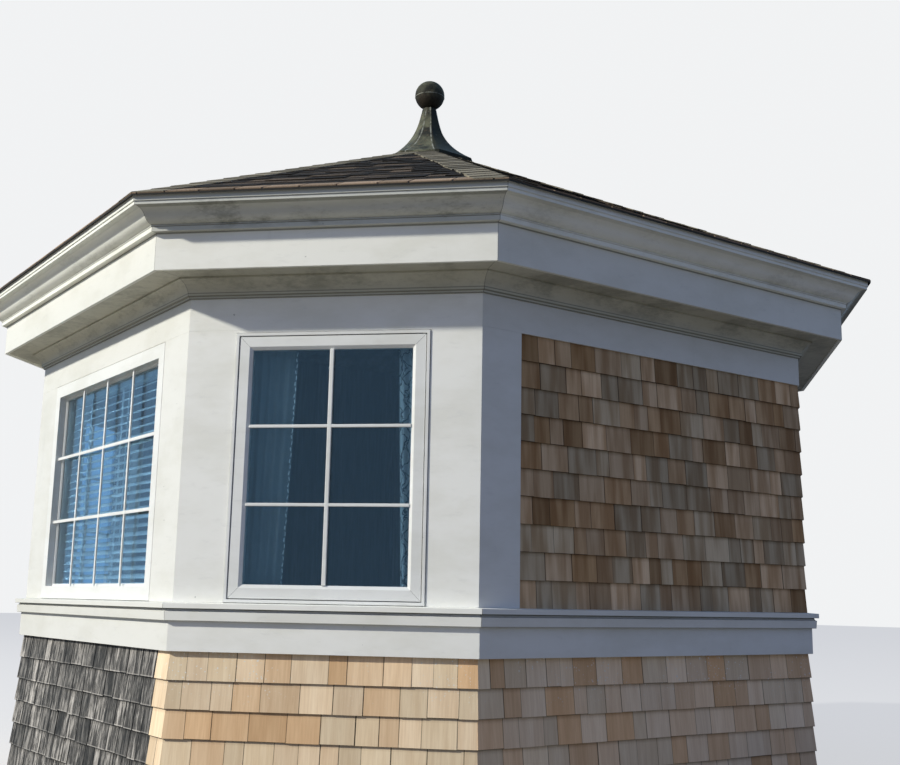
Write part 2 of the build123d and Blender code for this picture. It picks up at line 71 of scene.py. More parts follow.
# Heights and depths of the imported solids
SKIRT_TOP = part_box("water_table_board_sides")[0].z
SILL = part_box("water_table_cap_sides")[1].z
FRIEZE_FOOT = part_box("frieze_board_sides")[0].z
CROWN_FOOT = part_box("crown_moulding_sides")[0].z
BOARD_T = 0.019
CORNER_BOARD_W = 0.231
EAVE_OUT = 0.372
EAVE_Z = 2.808
DRIP = 0.015
ROOF_SHINGLE_T = 0.008
ROOF_RISE = 0.496 * (HALF + EAVE_OUT)
APEX_Z = EAVE_Z + ROOF_SHINGLE_T + ROOF_RISE
FINIAL_R = 0.317
ROD_BACK = 0.105

# Shingles of the walls and the skirt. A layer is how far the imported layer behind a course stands
# past the boards' faces, at the course's foot and at its head. DROP and TWIST are how unevenly the
# shingles hang, and the gaps are shares of the joint's width.
COURSE = 0.127
COURSE_LAP = 0.008
SKIRT_COURSES = 6
WALL_COURSES = 10
WALL_LAYER = (0.013 - BOARD_T, 0.007 - BOARD_T)
SKIRT_LAYER = (0.0185 - BOARD_T, 0.0115 - BOARD_T)
SKIRT_FLARE = 0.024
SUNK = 0.002
CLEAR = 0.0005
FOOT_CLEAR = 0.0002
BOARD_GAP = 0.001
DROP = (-0.0018, 0.0012)
TWIST = 0.003
END_SPARE = 0.03
CORNER_PATCH = 0.13
PATCH_GAP = 0.03
TIGHT = (0.3, 0.5, 0.8, 1, 1.2, 3)
LOOSE = (1.6, 2.2, 3, 3.6, 4.4)

# Roof shingles. The tabs' widths are their narrowest and widest, then the gap between them.
# FIELD_ROW, HIP_ROW and EAVE_ROW tell the material what a piece is.
TAB_RAISED_T = 0.0075
TAB_FLAT_T = 0.0040
TAB_WIDTHS = (0.06, 0.22, 0.003)
EAVE_TAB_WIDTHS = (0.13, 0.21, 0.009)
TAB_LAP = 0.02
TAB_TILT = 0.004
TAB_RAGGED = 0.004
TAB_SPARE = 0.05
HIP_WING = 0.148
HIP_CAP_T = 0.0055
HIP_LAP = 0.03
HIP_TILT = 0.02
HIP_SWAY = 0.004
HIP_BACK = 0.006
HIP_LIFT = 0.005
FIELD_ROW, HIP_ROW, EAVE_ROW = 0.0, 0.5, 1.0

# Finial. BALL_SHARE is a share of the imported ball's radius, BALL_SEAM_UP is from its middle.
BELL_EASE = 0.002
BALL_SHARE = 0.988
BALL_SEAM_UP = -0.016
SEAM_SWELL = 1.022
SEAM_HALF = 0.004

# Windows. An opening is its half width, foot and head; depths are behind the boards' faces.
FRONT_OPENING = (0.774, 1.0525, 2.1795)
CORNER_OPENING = (0.3845, 1.0645, 2.1555)
FRONT_BAR_DEPTHS = (0.0160, 0.0240)
CORNER_BAR_DEPTHS = (0.0010, 0.0102)
CORNER_BAR_WIDTHS = (0.020, 0.015)
FRONT_BAR_EASE = 0.001
CORNER_BAR_EASE = 0.003
RAIL_BEHIND = 0.0003
SASH_HALF = CORNER_HALF - 0.239
SASH_HEIGHTS = (SILL, FRIEZE_FOOT - 0.012)
SASH_EDGES = (0.021, 0.069)
SASH_FACE = CORNER_DISTANCE + 0.002
JOINT_HALF = 0.0006
JOINT_PROUD = 0.0002
JOINT_DEEP = 0.0003

# Blind wand and curtains
WAND_TOP = Vector((0.19, 0.088 - HALF, 2.13))
WAND_LENGTH = 0.86
WAND_R = 0.0042
FOLD_PITCH = 0.046
FOLD_DEPTH = 0.0095
FOLD_DEEPER = 0.0045
CLOTH_T = 0.0008
CLOTH_STEP = 0.0032
CURTAIN_EDGE = 0.447

# How much lighter the corners are painted than the sides, as painted light
CORNER_PAINTED_LIGHT = 1.23

# Light, and the camera that was fitted to the photo: its place, then yaw, pitch and roll
FLOOR_REACH = 60
KEY_DIRECTION = (-0.17, -0.865, 0.47)
KEY_DISTANCE = 30
KEY_AIM_Z = 1.8
KEY_POWER = 9500
KEY_SIZE = 1.1
KEY_COLOUR = (1.0, 0.97, 0.87)
FILL_COLOUR = (0.59, 0.73, 1.22, 1)
FILL_STRENGTH = 0.315
FLOOR_COLOUR = (0.255, 0.235, 0.195, 1)
BACKDROP_COLOUR = (0.88, 0.89, 0.90, 1)
MIRRORED_COLOUR = (0.32, 0.56, 0.84, 1)
CAMERA_PLACE = (6.2937, -4.2931, 1.0025)
CAMERA_TURNS = (54.371, 10.637, 1.065)
CAMERA_LENS = 46.80


def length_property(name, description, default, smallest=0.0):
    return FloatProperty(name=name, description=description, default=default, min=smallest,
                         unit="LENGTH", subtype="DISTANCE")


def colour_property(name, description, default):
    return FloatVectorProperty(name=name, description=description, default=default, size=4,
                               min=0, max=1, subtype="COLOR")


class DormerSizes(bpy.types.PropertyGroup):
    """Sizes that a user may change before the pieces are made"""
    joint: length_property("Shingle joint", "Open joint between neighbouring wall shingles", 0.0014)
    butt: length_property("Shingle butt", "Thickness of a wall shingle at its lower end", 0.0070, 0.001)
    narrow: length_property("Narrowest shingle", "Width of the narrowest wall shingle", 0.078, 0.02)
    wide: length_property("Widest shingle", "Width of the widest wall shingle", 0.185, 0.03)
    exposure: length_property("Roof exposure", "Height of a roof course that shows", 0.143, 0.05)
    bar_w: length_property("Window bar width", "Face width of a window bar", 0.017, 0.005)
    softness: length_property("Edge softness", "Rounding of the painted boards' edges", 0.0014)
    seed: IntProperty(
        name="Seed", description="Start of the random order of widths and tones", default=7)


class DormerColours(bpy.types.PropertyGroup):
    """Finishes, as linear colours"""
    trim: colour_property("Trim paint", "Off-white paint of the boards", (0.745, 0.745, 0.705, 1))
    window: colour_property("Window paint", "White of the frames and bars", (0.80, 0.81, 0.79, 1))
    # This dark colour also paints the thin lines of shade in the mouldings' grooves and under their lips,
    # beside the mildew
    shade_and_grime: colour_property("Grime", "Dark film that runs down the mouldings", (0.10, 0.10, 0.07, 1))
    cedar_pale: colour_property("Pale cedar", "Sapwood of a new shingle", (0.76, 0.575, 0.365, 1))
    cedar_warm: colour_property("Warm cedar", "Heartwood of a new shingle", (0.45, 0.29, 0.145, 1))
    cedar_grey: colour_property("Greyed cedar", "New cedar that has begun to grey", (0.59, 0.49, 0.33, 1))
    weathered: colour_property("Weathered cedar", "Old grey shingle", (0.036, 0.033, 0.030, 1))
    roof_tan: colour_property("Roof tan", "Tan mineral granules", (0.36, 0.27, 0.19, 1))
    roof_dark: colour_property("Roof dark", "Dark mineral granules", (0.024, 0.019, 0.015, 1))
    roof_hip: colour_property("Hip tan", "Greenish tan granules of the hips", (0.26, 0.235, 0.175, 1))
    patina: colour_property("Patina", "Dull metal of the finial", (0.046, 0.046, 0.037, 1))


# Modelling helpers

def deselect():
    for obj in bpy.context.selected_objects:
        obj.select_set(False)


def activate(*objs):
    deselect()
    for obj in objs:
        obj.select_set(True)
    bpy.context.view_layer.objects.active = objs[0]


def placed():
    """The primitive that was just added, with its place moved into its mesh."""
    bpy.ops.object.transform_apply(location=True, rotation=True, scale=True)
    return bpy.context.object


def block(low, high):
    """A box between two corners."""
    deselect()
    low, high = Vector(low), Vector(high)
    bpy.ops.mesh.primitive_cube_add(size=1, location=(low + high) / 2, scale=high - low)
    return placed()


@contextmanager
def picked(obj, test=None, edges=False):
    """Edit mode with some of a piece's points or edges picked by their place, or else all."""
    activate(obj)
    bpy.ops.object.mode_set(mode="EDIT")
    bpy.ops.mesh.select_mode(type="EDGE" if edges else "VERT")
    bpy.ops.mesh.select_all(action="DESELECT" if test else "SELECT")
    if test:
        bpy.ops.object.mode_set(mode="OBJECT")
        verts = obj.data.vertices
        if edges:
            for edge in obj.data.edges:
                edge.select = all(test(verts[v].co) for v in edge.vertices)
        else:
            for vert in verts:
                vert.select = test(vert.co)
        bpy.ops.object.mode_set(mode="EDIT")
    yield
    bpy.ops.object.mode_set(mode="OBJECT")


def copied(template, matrix, grain, **values):
    """A copy with its own mesh, moved into place, with point values for its materials. grain is
    the size and the shift of the pattern on it."""
    mesh = template.data.copy()
    flat = []
    for vert in mesh.vertices:
        flat += [c * size + shift for c, size, shift in zip(vert.co, *grain)]
    mesh.attributes.new("grain", "FLOAT_VECTOR", "POINT").data.foreach_set("vector", flat)
    numbers = {"across": [vert.co.x for vert in mesh.vertices],
               "rise": [vert.co.z for vert in mesh.vertices]}
    numbers.update((key, [value] * len(mesh.vertices)) for key, value in values.items())
    for key, row in numbers.items():
        mesh.attributes.new(key, "FLOAT", "POINT").data.foreach_set("value", row)
    mesh.transform(matrix)
    obj = bpy.data.objects.new("copy", mesh)
    bpy.context.scene.collection.objects.link(obj)
    return obj


def joined(objs):
    if not objs:
        raise RuntimeError("nothing to join")
    activate(*objs)
    if len(objs) > 1:
        bpy.ops.object.join()
    return bpy.context.object


def finished(objs, name, material):
    """Joins what one piece is made of, names it and gives it its finish, slot and body."""
    obj = joined(objs)
    obj.name = obj.data.name = name
    obj.data.materials.clear()
    obj.data.materials.append(material)
    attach(obj, "root")
    return obj


def dress(names, material, soft=0.0):
    """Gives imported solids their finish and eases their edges."""
    for name in names:
        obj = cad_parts[name]
        obj.data.materials.clear()
        obj.data.materials.append(material)
        if soft:
            obj.modifiers.new("Weld", "WELD").merge_threshold = 0.00005
            bevel = obj.modifiers.new("Eased edges", "BEVEL")
            bevel.width = soft
            bevel.segments = 2
            bevel.limit_method = "ANGLE"
            bevel.angle_limit = radians(35)
            obj.modifiers.new("Flat faces", "WEIGHTED_NORMAL").weight = 100


def cut(obj, place, normal):
    """Cuts away what lies beyond a plane and closes the cut."""
    with picked(obj):
        bpy.ops.mesh.bisect(plane_co=place, plane_no=Vector(normal).normalized(),
                            clear_outer=True, use_fill=True)


def turn(obj, index):
    obj.data.transform(Matrix.Rotation(radians(45 * index), 4, "Z"))
    return obj


def remove(obj):
    bpy.data.objects.remove(obj, do_unlink=True)


def wall(index):
    """Distance from the centre and half length of one of the eight walls."""
    return (HALF, SIDE_HALF) if index % 2 == 0 else (CORNER_DISTANCE, CORNER_HALF)


def mitre_end(piece, index, side):
    """Cuts a wall's piece where it meets the next wall, on its -X or its +X side."""
    distance, half = wall(index)
    cut(piece, (side * half, -distance, 0), (side, MITRE, 0))


# Shingles

def shingle_template():
    """A unit shingle: butt at z = 0 with its front edge eased, tip at z = 1, back at y = 0."""
    obj = block((0, -1, 0), (1, 0, 1))
    with picked(obj, lambda co: co.z > 0.5 and co.y < -0.5):
        bpy.ops.transform.translate(value=(0, 0.42, 0))
    with picked(obj, lambda co: co.z < 0.5 and co.y < -0.5, edges=True):
        bpy.ops.mesh.bevel(offset=0.02, offset_type="OFFSET", segments=1, affect="EDGES")
    return obj


def course_widths(rng, low, high, narrow, wide):
    """Random shingle edges from low to high."""
    edges = [low]
    while edges[-1] < high:
        edges.append(edges[-1] + rng.uniform(narrow, wide))
    edges[-1] = high
    if len(edges) > 2 and edges[-1] - edges[-2] < narrow * 0.6:
        edges.pop(-2)
    return edges


def random_place(rng, reach):
    return (rng.uniform(0, reach), rng.uniform(0, reach), rng.uniform(0, reach))


def shingle_wall(template, rng, index, foot, courses, low, high, lean, layer, rough, gaps, palest=False):
    """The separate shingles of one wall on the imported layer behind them. lean is how far the
    lowest course stands out, and rough how unevenly they hang. With palest, all are pale."""
    sizes = bpy.context.scene.dormer_sizes
    distance = wall(index)[0]
    shingles = []
    for row in range(courses):
        z = foot + row * COURSE
        lean_low = lean * (1 - row / courses)
        lean_high = lean * (1 - (row + 1) / courses)
        reach = (lean_low + END_SPARE) * MITRE
        edges = course_widths(rng, low - reach, high + reach, sizes.narrow, sizes.wide)
        for left, right in zip(edges, edges[1:]):
            width = right - left
            gap = sizes.joint * rng.choice(gaps)
            thick = sizes.butt * rng.uniform(0.8, 1.15)
            drop = rng.uniform(*DROP) * rough
            height = COURSE + COURSE_LAP - drop
            back = layer[0] + lean_low - SUNK
            slope = (layer[0] + lean_low) - (layer[1] + lean_high)
            twist = rng.uniform(-TWIST, TWIST) * rough
            matrix = (
                Matrix.Translation((left + gap / 2, -(distance + back), z + drop))
                @ Matrix.Rotation(-atan2(slope, COURSE), 4, "X")
                @ Matrix.Rotation(twist, 4, "Y")
                @ Matrix.Diagonal((width - gap, thick, height, 1)))
            shingles.append(copied(
                template, matrix, ((width, thick, height), random_place(rng, 20)),
                tone=rng.uniform(0, 0.25) if palest else rng.random(),
                shade=1 if palest else rng.random()))
    return joined(shingles)


def roof_plane(index):
    """Distance of a roof plane's eave from the centre, half its eave and its slope."""
    distance, half = wall(index)
    distance += EAVE_OUT
    return distance, half + EAVE_OUT * MITRE, ROOF_RISE / distance


def roof_tabs(template, rng, index):
    """Laid tabs of one roof plane."""
    sizes = bpy.context.scene.dormer_sizes
    distance, half, slope = roof_plane(index)
    tilt = atan2(slope, 1)
    foot = distance + DRIP
    length = (foot - FINIAL_R * 0.9) / cos(tilt)
    tabs = []
    for row in range(ceil(length / sizes.exposure)):
        eave = row == 0
        out = foot - row * sizes.exposure * cos(tilt)
        z = EAVE_Z + ROOF_SHINGLE_T + (distance - out) * slope
        reach = half * out / distance + TAB_SPARE
        shift = rng.uniform(0, 0.2)
        narrow, wide, gap = EAVE_TAB_WIDTHS if eave else TAB_WIDTHS
        edges = course_widths(rng, -reach - shift, reach, narrow, wide)
        for left, right in zip(edges, edges[1:]):
            width = right - left
            raised = eave or rng.random() < 0.5
            thick = (TAB_RAISED_T if raised else TAB_FLAT_T) * rng.uniform(0.9, 1.1)
            ragged = 0 if eave else rng.uniform(-TAB_RAGGED, TAB_RAGGED)
            matrix = (
                Matrix.Translation((left, -(out - ragged), z - CLEAR + ragged * slope))
                @ Matrix.Rotation(tilt - TAB_TILT - pi / 2, 4, "X")
                @ Matrix.Diagonal((width - gap, thick, sizes.exposure + TAB_LAP, 1)))
            tabs.append(copied(
                template, matrix, ((width, thick, 0.15), random_place(rng, 9)),
                tone=rng.random(), shade=1 if raised else 0, row=EAVE_ROW if eave else FIELD_ROW))
    obj = joined(tabs)
    for side in (1, -1):
        cut(obj, (0, 0, 0), (side * distance, half, 0))
    cut(obj, (0, -foot, 0), (0, -1, 0))
    return turn(obj, index)


def hip_template(folds):
    """A cap folded along its middle, with unit length up the hip. folds are how far each wing
    falls, for each metre across, on the -X and the +X side."""
    obj = block((-HIP_WING, -HIP_CAP_T, 0), (HIP_WING, 0, 1))
    with picked(obj):
        bpy.ops.mesh.bisect(plane_co=(0, 0, 0), plane_no=(1, 0, 0))
    for side, fold in zip((-1, 1), folds):
        with picked(obj, lambda co: co.x * side > HIP_WING / 2):
            bpy.ops.transform.translate(value=(0, fold * HIP_WING, 0))
    return obj


def hip_caps_piece(rng):
    """Folded shingles that lap up each hip, from the eave to the bell's foot, each hip's cut
    where it meets its neighbours."""
    exposure = bpy.context.scene.dormer_sizes.exposure
    hips = []
    for index in range(8):
        distance, half, slope = roof_plane(index)
        turned = atan2(half, distance)
        tilt = atan(slope * cos(turned))
        next_slope = roof_plane(index + 1)[2]
        template = hip_template((slope * sin(turned) * cos(tilt),
                                 next_slope * sin(pi / 4 - turned) * cos(tilt)))
        reach = (distance + DRIP) / cos(turned)
        caps = []
        for row in range(ceil((reach - FINIAL_R) / cos(tilt) / exposure)):
            out = reach - row * exposure * cos(tilt) - HIP_BACK
            loose = rng.uniform(0.94, 1.02)
            sway = rng.uniform(-HIP_SWAY, HIP_SWAY)
            matrix = (
                Matrix.Rotation(turned, 4, "Z")
                @ Matrix.Translation((sway, -out, APEX_Z - tan(tilt) * out + HIP_LIFT))
                @ Matrix.Rotation(tilt - HIP_TILT - pi / 2, 4, "X")
                @ Matrix.Diagonal((loose, loose, exposure + HIP_LAP, 1)))
            grain = ((1, 1, 0.17), (rng.uniform(0, 9), rng.uniform(0, 9), 3))
            caps.append(copied(template, matrix, grain, tone=rng.random(), shade=1, row=HIP_ROW))
        remove(template)
        hip = joined(caps)
        cut(hip, (0, 0, 0), (-1, 0, 0))
        cut(hip, (0, 0, 0), (1, 1, 0))
        hips.append(turn(hip, index))
    obj = joined(hips)
    for index in range(8):
        outward = Vector((sin(radians(45 * index)), -cos(radians(45 * index)), 0))
        cut(obj, outward * (wall(index)[0] + EAVE_OUT + DRIP), outward)
    return obj


# Node helpers. Where they take no tree, it is the one that their sockets belong to.

def tree_of(values):
    return next(value.id_data for value in values if isinstance(value, bpy.types.NodeSocket))


def node(tree, kind, inputs=None, **settings):
    """A node with its settings, and its inputs linked or set."""
    made = tree.nodes.new(kind)
    for key, value in settings.items():
        setattr(made, key, value)
    for key, value in (inputs or {}).items():
        socket = made.inputs[key]
        if isinstance(value, bpy.types.NodeSocket):
            tree.links.new(value, socket)
        else:
            socket.default_value = value
    return made


def math(operation, a, b=0.0):
    return node(tree_of((a, b)), "ShaderNodeMath", {0: a, 1: b}, operation=operation).outputs[0]


def plus(a, b):
    return math("ADD", a, b)


def minus(a, b):
    return math("SUBTRACT", a, b)


def times(a, b):
    return math("MULTIPLY", a, b)


def absolute(a):
    return math("ABSOLUTE", a)


def below(a, b):
    return math("LESS_THAN", a, b)


def above(a, b):
    return math("GREATER_THAN", a, b)


def weighed(*parts):
    """The sum of values, each times its share."""
    total = times(*parts[0])
    for part in parts[1:]:
        total = plus(total, times(*part))
    return total


def ranged(value, low, high, to_low=0.0, to_high=1.0, kind="SMOOTHSTEP"):
    return node(value.id_data, "ShaderNodeMapRange",
                {0: value, 1: low, 2: high, 3: to_low, 4: to_high}, interpolation_type=kind).outputs[0]


def blend(factor, a, b, kind="MIX"):
    mix = node(tree_of((factor, a, b)), "ShaderNodeMix", {0: factor, 6: a, 7: b},
               data_type="RGBA", blend_type=kind)
    return mix.outputs[2]


def layer(base, where, strength, colour, kind="MIX"):
    """A colour laid over another where a mask is white, or multiplied into it."""
    return blend(times(where, strength), base, colour, kind)


def scaled(vector, scale):
    return node(vector.id_data, "ShaderNodeVectorMath", {0: vector, 1: scale},
                operation="MULTIPLY").outputs[0]


def lit(colour, level):
    return node(colour.id_data, "ShaderNodeVectorMath", {0: colour, 3: level},
                operation="SCALE").outputs[0]


def axes(vector):
    return node(vector.id_data, "ShaderNodeSeparateXYZ", {0: vector}).outputs


def noise(vector, scale, detail=3.0, rough=0.5, distortion=0.0):
    return node(vector.id_data, "ShaderNodeTexNoise",
                {"Vector": vector, "Scale": scale, "Detail": detail, "Roughness": rough,
                 "Distortion": distortion}).outputs["Fac"]


def value_of(tree, name, socket="Fac"):
    """A value that the mesh's points carry."""
    return node(tree, "ShaderNodeAttribute", attribute_name=name,
                attribute_type="GEOMETRY").outputs[socket]


def own_place(tree):
    return node(tree, "ShaderNodeTexCoord").outputs["Object"]


def toned(colour, *shares):
    """A colour times one share, or times a share for each channel."""
    return tuple(c * share for c, share in zip(colour[:3], shares * 3)) + (1,)


# Shared effects

def new_group(name, build, inputs, outputs=("Mask",)):
    """A node group of single values. build makes its outputs from its inputs, and an input
    without a default is a vector."""
    tree = bpy.data.node_groups.new(name, "ShaderNodeTree")
    for label, default in inputs.items():
        kind = "NodeSocketVector" if default is None else "NodeSocketFloat"
        socket = tree.interface.new_socket(name=label, in_out="INPUT", socket_type=kind)
        if default is not None:
            socket.default_value = default
    for label in outputs:
        tree.interface.new_socket(name=label, in_out="OUTPUT", socket_type="NodeSocketFloat")
    given, result = tree.nodes.new("NodeGroupInput"), tree.nodes.new("NodeGroupOutput")
    made = build(*(given.outputs[label] for label in inputs))
    for label, socket in zip(outputs, made):
        tree.links.new(socket, result.inputs[label])


def effect(tree, group, **inputs):
    """The outputs of a shared effect."""
    return node(tree, "ShaderNodeGroup", inputs, node_tree=bpy.data.node_groups[group]).outputs


def mask(tree, group, **inputs):
    """The first output of a shared effect."""
    return effect(tree, group, **inputs)[0]


def rain_streaks(vector, width, cover):
    """Runs of staining that follow the fall of water: wide and fine vertical streaks."""
    coarse = noise(scaled(vector, (1, 1, 0.09)), width, 3, 0.55)
    fine = noise(scaled(vector, (1, 1, 0.04)), times(width, 5.0), 2, 0.6)
    patch = noise(vector, 1.7, 2, 0.5)
    limit = minus(0.78, times(cover, 0.5))
    total = weighed((coarse, 0.5), (fine, 0.25), (patch, 0.25))
    return [ranged(total, minus(limit, 0.1), plus(limit, 0.1))]


def wood_grain(vector):
    """Wood grain along the third axis of its vector: ring lines, a slow drift and relief."""
    stretched = scaled(vector, (1, 1, 0.05))
    lines = noise(stretched, 120.0, 4, 0.6, 0.3)
    pores = noise(stretched, 420.0, 2, 0.7)
    drift = noise(scaled(vector, (1, 1, 0.12)), 16, 2, 0.5)
    return [ranged(lines, 0.3, 0.7), ranged(drift, 0.32, 0.68), weighed((lines, 0.65), (pores, 0.35))]


def specks(vector, size, cover):
    """Small dark specks, thinly strewn."""
    tree = vector.id_data
    wander = node(tree, "ShaderNodeTexNoise", {"Vector": vector, "Scale": 40.0}).outputs["Color"]
    moved = node(tree, "ShaderNodeVectorMath", {0: vector, 1: scaled(wander, (0.02, 0.02, 0.02))})
    cells = node(tree, "ShaderNodeTexVoronoi", {"Vector": moved.outputs[0], "Scale": size}, feature="F1")
    chance = node(tree, "ShaderNodeSeparateColor", {0: cells.outputs["Color"]}).outputs
    near = below(cells.outputs["Distance"], times(chance[1], 0.3))
    return [times(near, below(chance[0], cover))]


def height_band(low, high, fade):
    """1 between two heights of the building, fading over a given depth."""
    z = axes(own_place(low.id_data))["Z"]
    rise = ranged(z, minus(low, fade), low, kind="LINEAR")
    fall = ranged(z, high, plus(high, fade), 1.0, 0.0, "LINEAR")
    return [times(rise, fall)]


def mildew(vector, size, cover):
    """Blotches that spread along a moulding: wide clouds with a ragged edge."""
    flat = scaled(vector, (1, 1, 3.5))
    cloud = noise(flat, size, 5, 0.62, 0.3)
    ragged = noise(flat, times(size, 11.0), 4, 0.7)
    limit = minus(0.74, times(cover, 0.5))
    total = weighed((cloud, 0.7), (ragged, 0.3))
    return [ranged(total, minus(limit, 0.05), plus(limit, 0.13))]


def off_corners(place, angle, out=0.0, half=0.0):
    """How far a place is from eight lines at an angle to the axes, each through a corner that is
    out and half away from the middle."""
    x, y = absolute(place["X"]), absolute(place["Y"])
    more = minus(math("MAXIMUM", x, y), out)
    less = minus(math("MINIMUM", x, y), half)
    return absolute(minus(times(more, sin(angle)), times(less, cos(angle))))


def mitre_lines(width):
    """A fine line where the lengths of a moulding meet at the eight corners."""
    away = off_corners(axes(own_place(width.id_data)), MITRE_ANGLE, HALF, SIDE_HALF)
    return [below(away, width)]


def shingle_edges(sides, head, inset):
    """Painted shade on a shingle by its edges: dark on the cut butt and under the next course, where shade
    falls, and darker at both sides. Inputs are how dark the sides and the head are, and where across the
    sides begin."""
    tree = sides.id_data
    rise = value_of(tree, "rise")
    butt = ranged(rise, 0.0, 0.012, 0.3, 1.0)
    top = ranged(rise, 0.78, 0.94, 1.0, head, "LINEAR")
    from_middle = absolute(minus(value_of(tree, "across"), 0.5))
    side = ranged(from_middle, inset, 0.497, 1.0, sides, "LINEAR")
    return [times(times(butt, top), side)]


# Materials

def start_material(name, constants):
    """A material with constants on its shader, its tree and its place."""
    made = bpy.data.materials.new(name)
    made.use_nodes = True
    shader = made.node_tree.nodes["Principled BSDF"]
    for key, value in constants.items():
        shader.inputs[key].default_value = value
    return made, made.node_tree, own_place(made.node_tree)


def close_material(made, links, relief, strength, depth=0.002):
    """Links what drives a material's shader, and its relief, and gives the material back."""
    tree = made.node_tree
    bump = node(tree, "ShaderNodeBump", {"Height": relief, "Strength": strength, "Distance": depth})
    for key, socket in {**links, "Normal": bump.outputs["Normal"]}.items():
        tree.links.new(socket, tree.nodes["Principled BSDF"].inputs[key])
    return made


def paint_material(name, colour, cover, bands=(), strewn=0.004, runs=0.2, mitres=0.0):
    """Weathered house paint. cover is how much staining runs down it and runs how dark that is. bands are
    (low, high, fade, strength, cover) heights where it darkens more, with thin lines of painted shade in
    grooves and under lips and patches of mildew, strewn is how many specks lie on it, and mitres how dark
    its corner joints are."""
    made, tree, coords = start_material(name, {"Roughness": 0.52})
    drift = noise(scaled(coords, (1, 1, 2.2)), 2.6, 4, 0.6)
    base = blend(ranged(drift, 0.38, 0.72), colour, toned(colour, 0.91, 0.905, 0.88))
    scuffs = noise(scaled(coords, (1, 1, 3.5)), 9, 5, 0.65)
    base = blend(ranged(scuffs, 0.56, 0.74, 0, 0.35), base, toned(colour, 0.8))
    streaks = mask(tree, "Rain Streaks", Vector=coords, Width=11.0, Cover=cover)
    base = layer(base, streaks, runs, toned(colour, 0.6))
    # Bands of the dark colour: thin full ones are painted shade in grooves and under lips, patchy ones
    # mildew
    for low, high, fade, strength, share in bands:
        band = mask(tree, "Height Band", Low=low, High=high, Fade=fade)
        blotches = mask(tree, "Mildew", Vector=coords, Cover=share)
        base = layer(base, times(band, blotches), strength, tuple(bpy.context.scene.dormer_colours.shade_and_grime))
    if mitres:
        base = layer(base, mask(tree, "Mitre Lines"), mitres, toned(colour, 0.15))
    spots = mask(tree, "Specks", Vector=coords, Size=60.0, Cover=strewn)
    base = layer(base, spots, 0.5, toned(colour, 0.3))
    brushed = noise(scaled(coords, (1, 1, 4)), 70, 3, 0.6)
    links = {"Base Color": base, "Roughness": ranged(brushed, 0.2, 0.8, 0.45, 0.62, "LINEAR")}
    return close_material(made, links, brushed, 0.12, 0.001)


def cedar_material(name, tones, grey_share, levels, bands, dark, splashes=0.0):
    """Sawn shingles. tones are pale, warm and grey: each shingle's own tone picks its colour
    among them and its level, and grain runs up it. bands is how strong the slow dark bands of
    the grain are. splashes is how thickly drops of paint lie under the water table."""
    pale, warm, grey = tones
    made, tree, coords = start_material(name, {"Roughness": 0.8, "Specular IOR Level": 0.2})
    tone = value_of(tree, "tone")
    grain = effect(tree, "Wood Grain", Vector=value_of(tree, "grain", "Vector"))
    base = blend(ranged(tone, 0.2, 0.95), pale, warm)
    base = blend(below(value_of(tree, "shade"), grey_share), base, grey)
    base = layer(base, grain["Drift"], bands, dark, "MULTIPLY")
    base = layer(base, grain["Lines"], 0.3, (0.66, 0.58, 0.5, 1), "MULTIPLY")
    runs = mask(tree, "Rain Streaks", Vector=coords, Width=22.0, Cover=0.2)
    base = layer(base, runs, 0.25, (0.6, 0.59, 0.58, 1), "MULTIPLY")
    level = ranged(math("FRACT", times(tone, 7.31)), 0, 1, *levels, "LINEAR")
    # Each shingle's level, with painted shade at its butt and under the next course
    base = lit(base, times(level, mask(tree, "Shingle Edges", Sides=0.55, Head=0.75)))
    if splashes:
        drops = mask(tree, "Specks", Vector=coords, Size=75.0, Cover=splashes)
        band = mask(tree, "Height Band", Low=SKIRT_TOP - 0.11, High=SKIRT_TOP, Fade=0.13)
        patches = ranged(noise(coords, 2.3, 2, 0.5), 0.44, 0.52)
        base = layer(base, times(times(drops, band), patches), 0.8, (0.78, 0.77, 0.72, 1))
    return close_material(made, {"Base Color": base}, grain["Height"], 0.4, 0.001)


def weathered_material():
    """Old shingles: dark grey wood with pale streaks where the soft wood has weathered away, and paler in a
    narrow strip just above each butt.
    """
    dark, pale = tuple(bpy.context.scene.dormer_colours.weathered), (0.48, 0.455, 0.42, 1)
    made, tree, coords = start_material("Weathered Cedar", {"Roughness": 0.85})
    vector, rise = value_of(tree, "grain", "Vector"), value_of(tree, "rise")
    broad = noise(scaled(vector, (1, 1, 0.20)), 34, 4, 0.65, 0.4)
    fine = noise(scaled(vector, (1, 1, 0.07)), 150, 4, 0.7)
    mixed = weighed((broad, 0.5), (fine, 0.5))
    base = blend(ranged(mixed, 0.45, 0.60), dark, pale)
    stains = mask(tree, "Rain Streaks", Vector=coords, Width=12.0, Cover=0.42)
    base = layer(base, stains, 0.75, toned(dark, 0.7))
    # Paler in a narrow strip just above the butt
    lightening = times(ranged(rise, 0.012, 0.02), ranged(rise, 0.03, 0.06, 1.0, 0.0))
    base = layer(base, lightening, 0.6, pale)
    level = ranged(value_of(tree, "tone"), 0, 1, 0.34, 1.35, "LINEAR")
    # Painted shade at the butt and under the next course, and dark sides
    base = lit(base, times(level, mask(tree, "Shingle Edges", Sides=0.05, Head=0.45, Inset=0.45)))
    return close_material(made, {"Base Color": base}, mixed, 0.9)


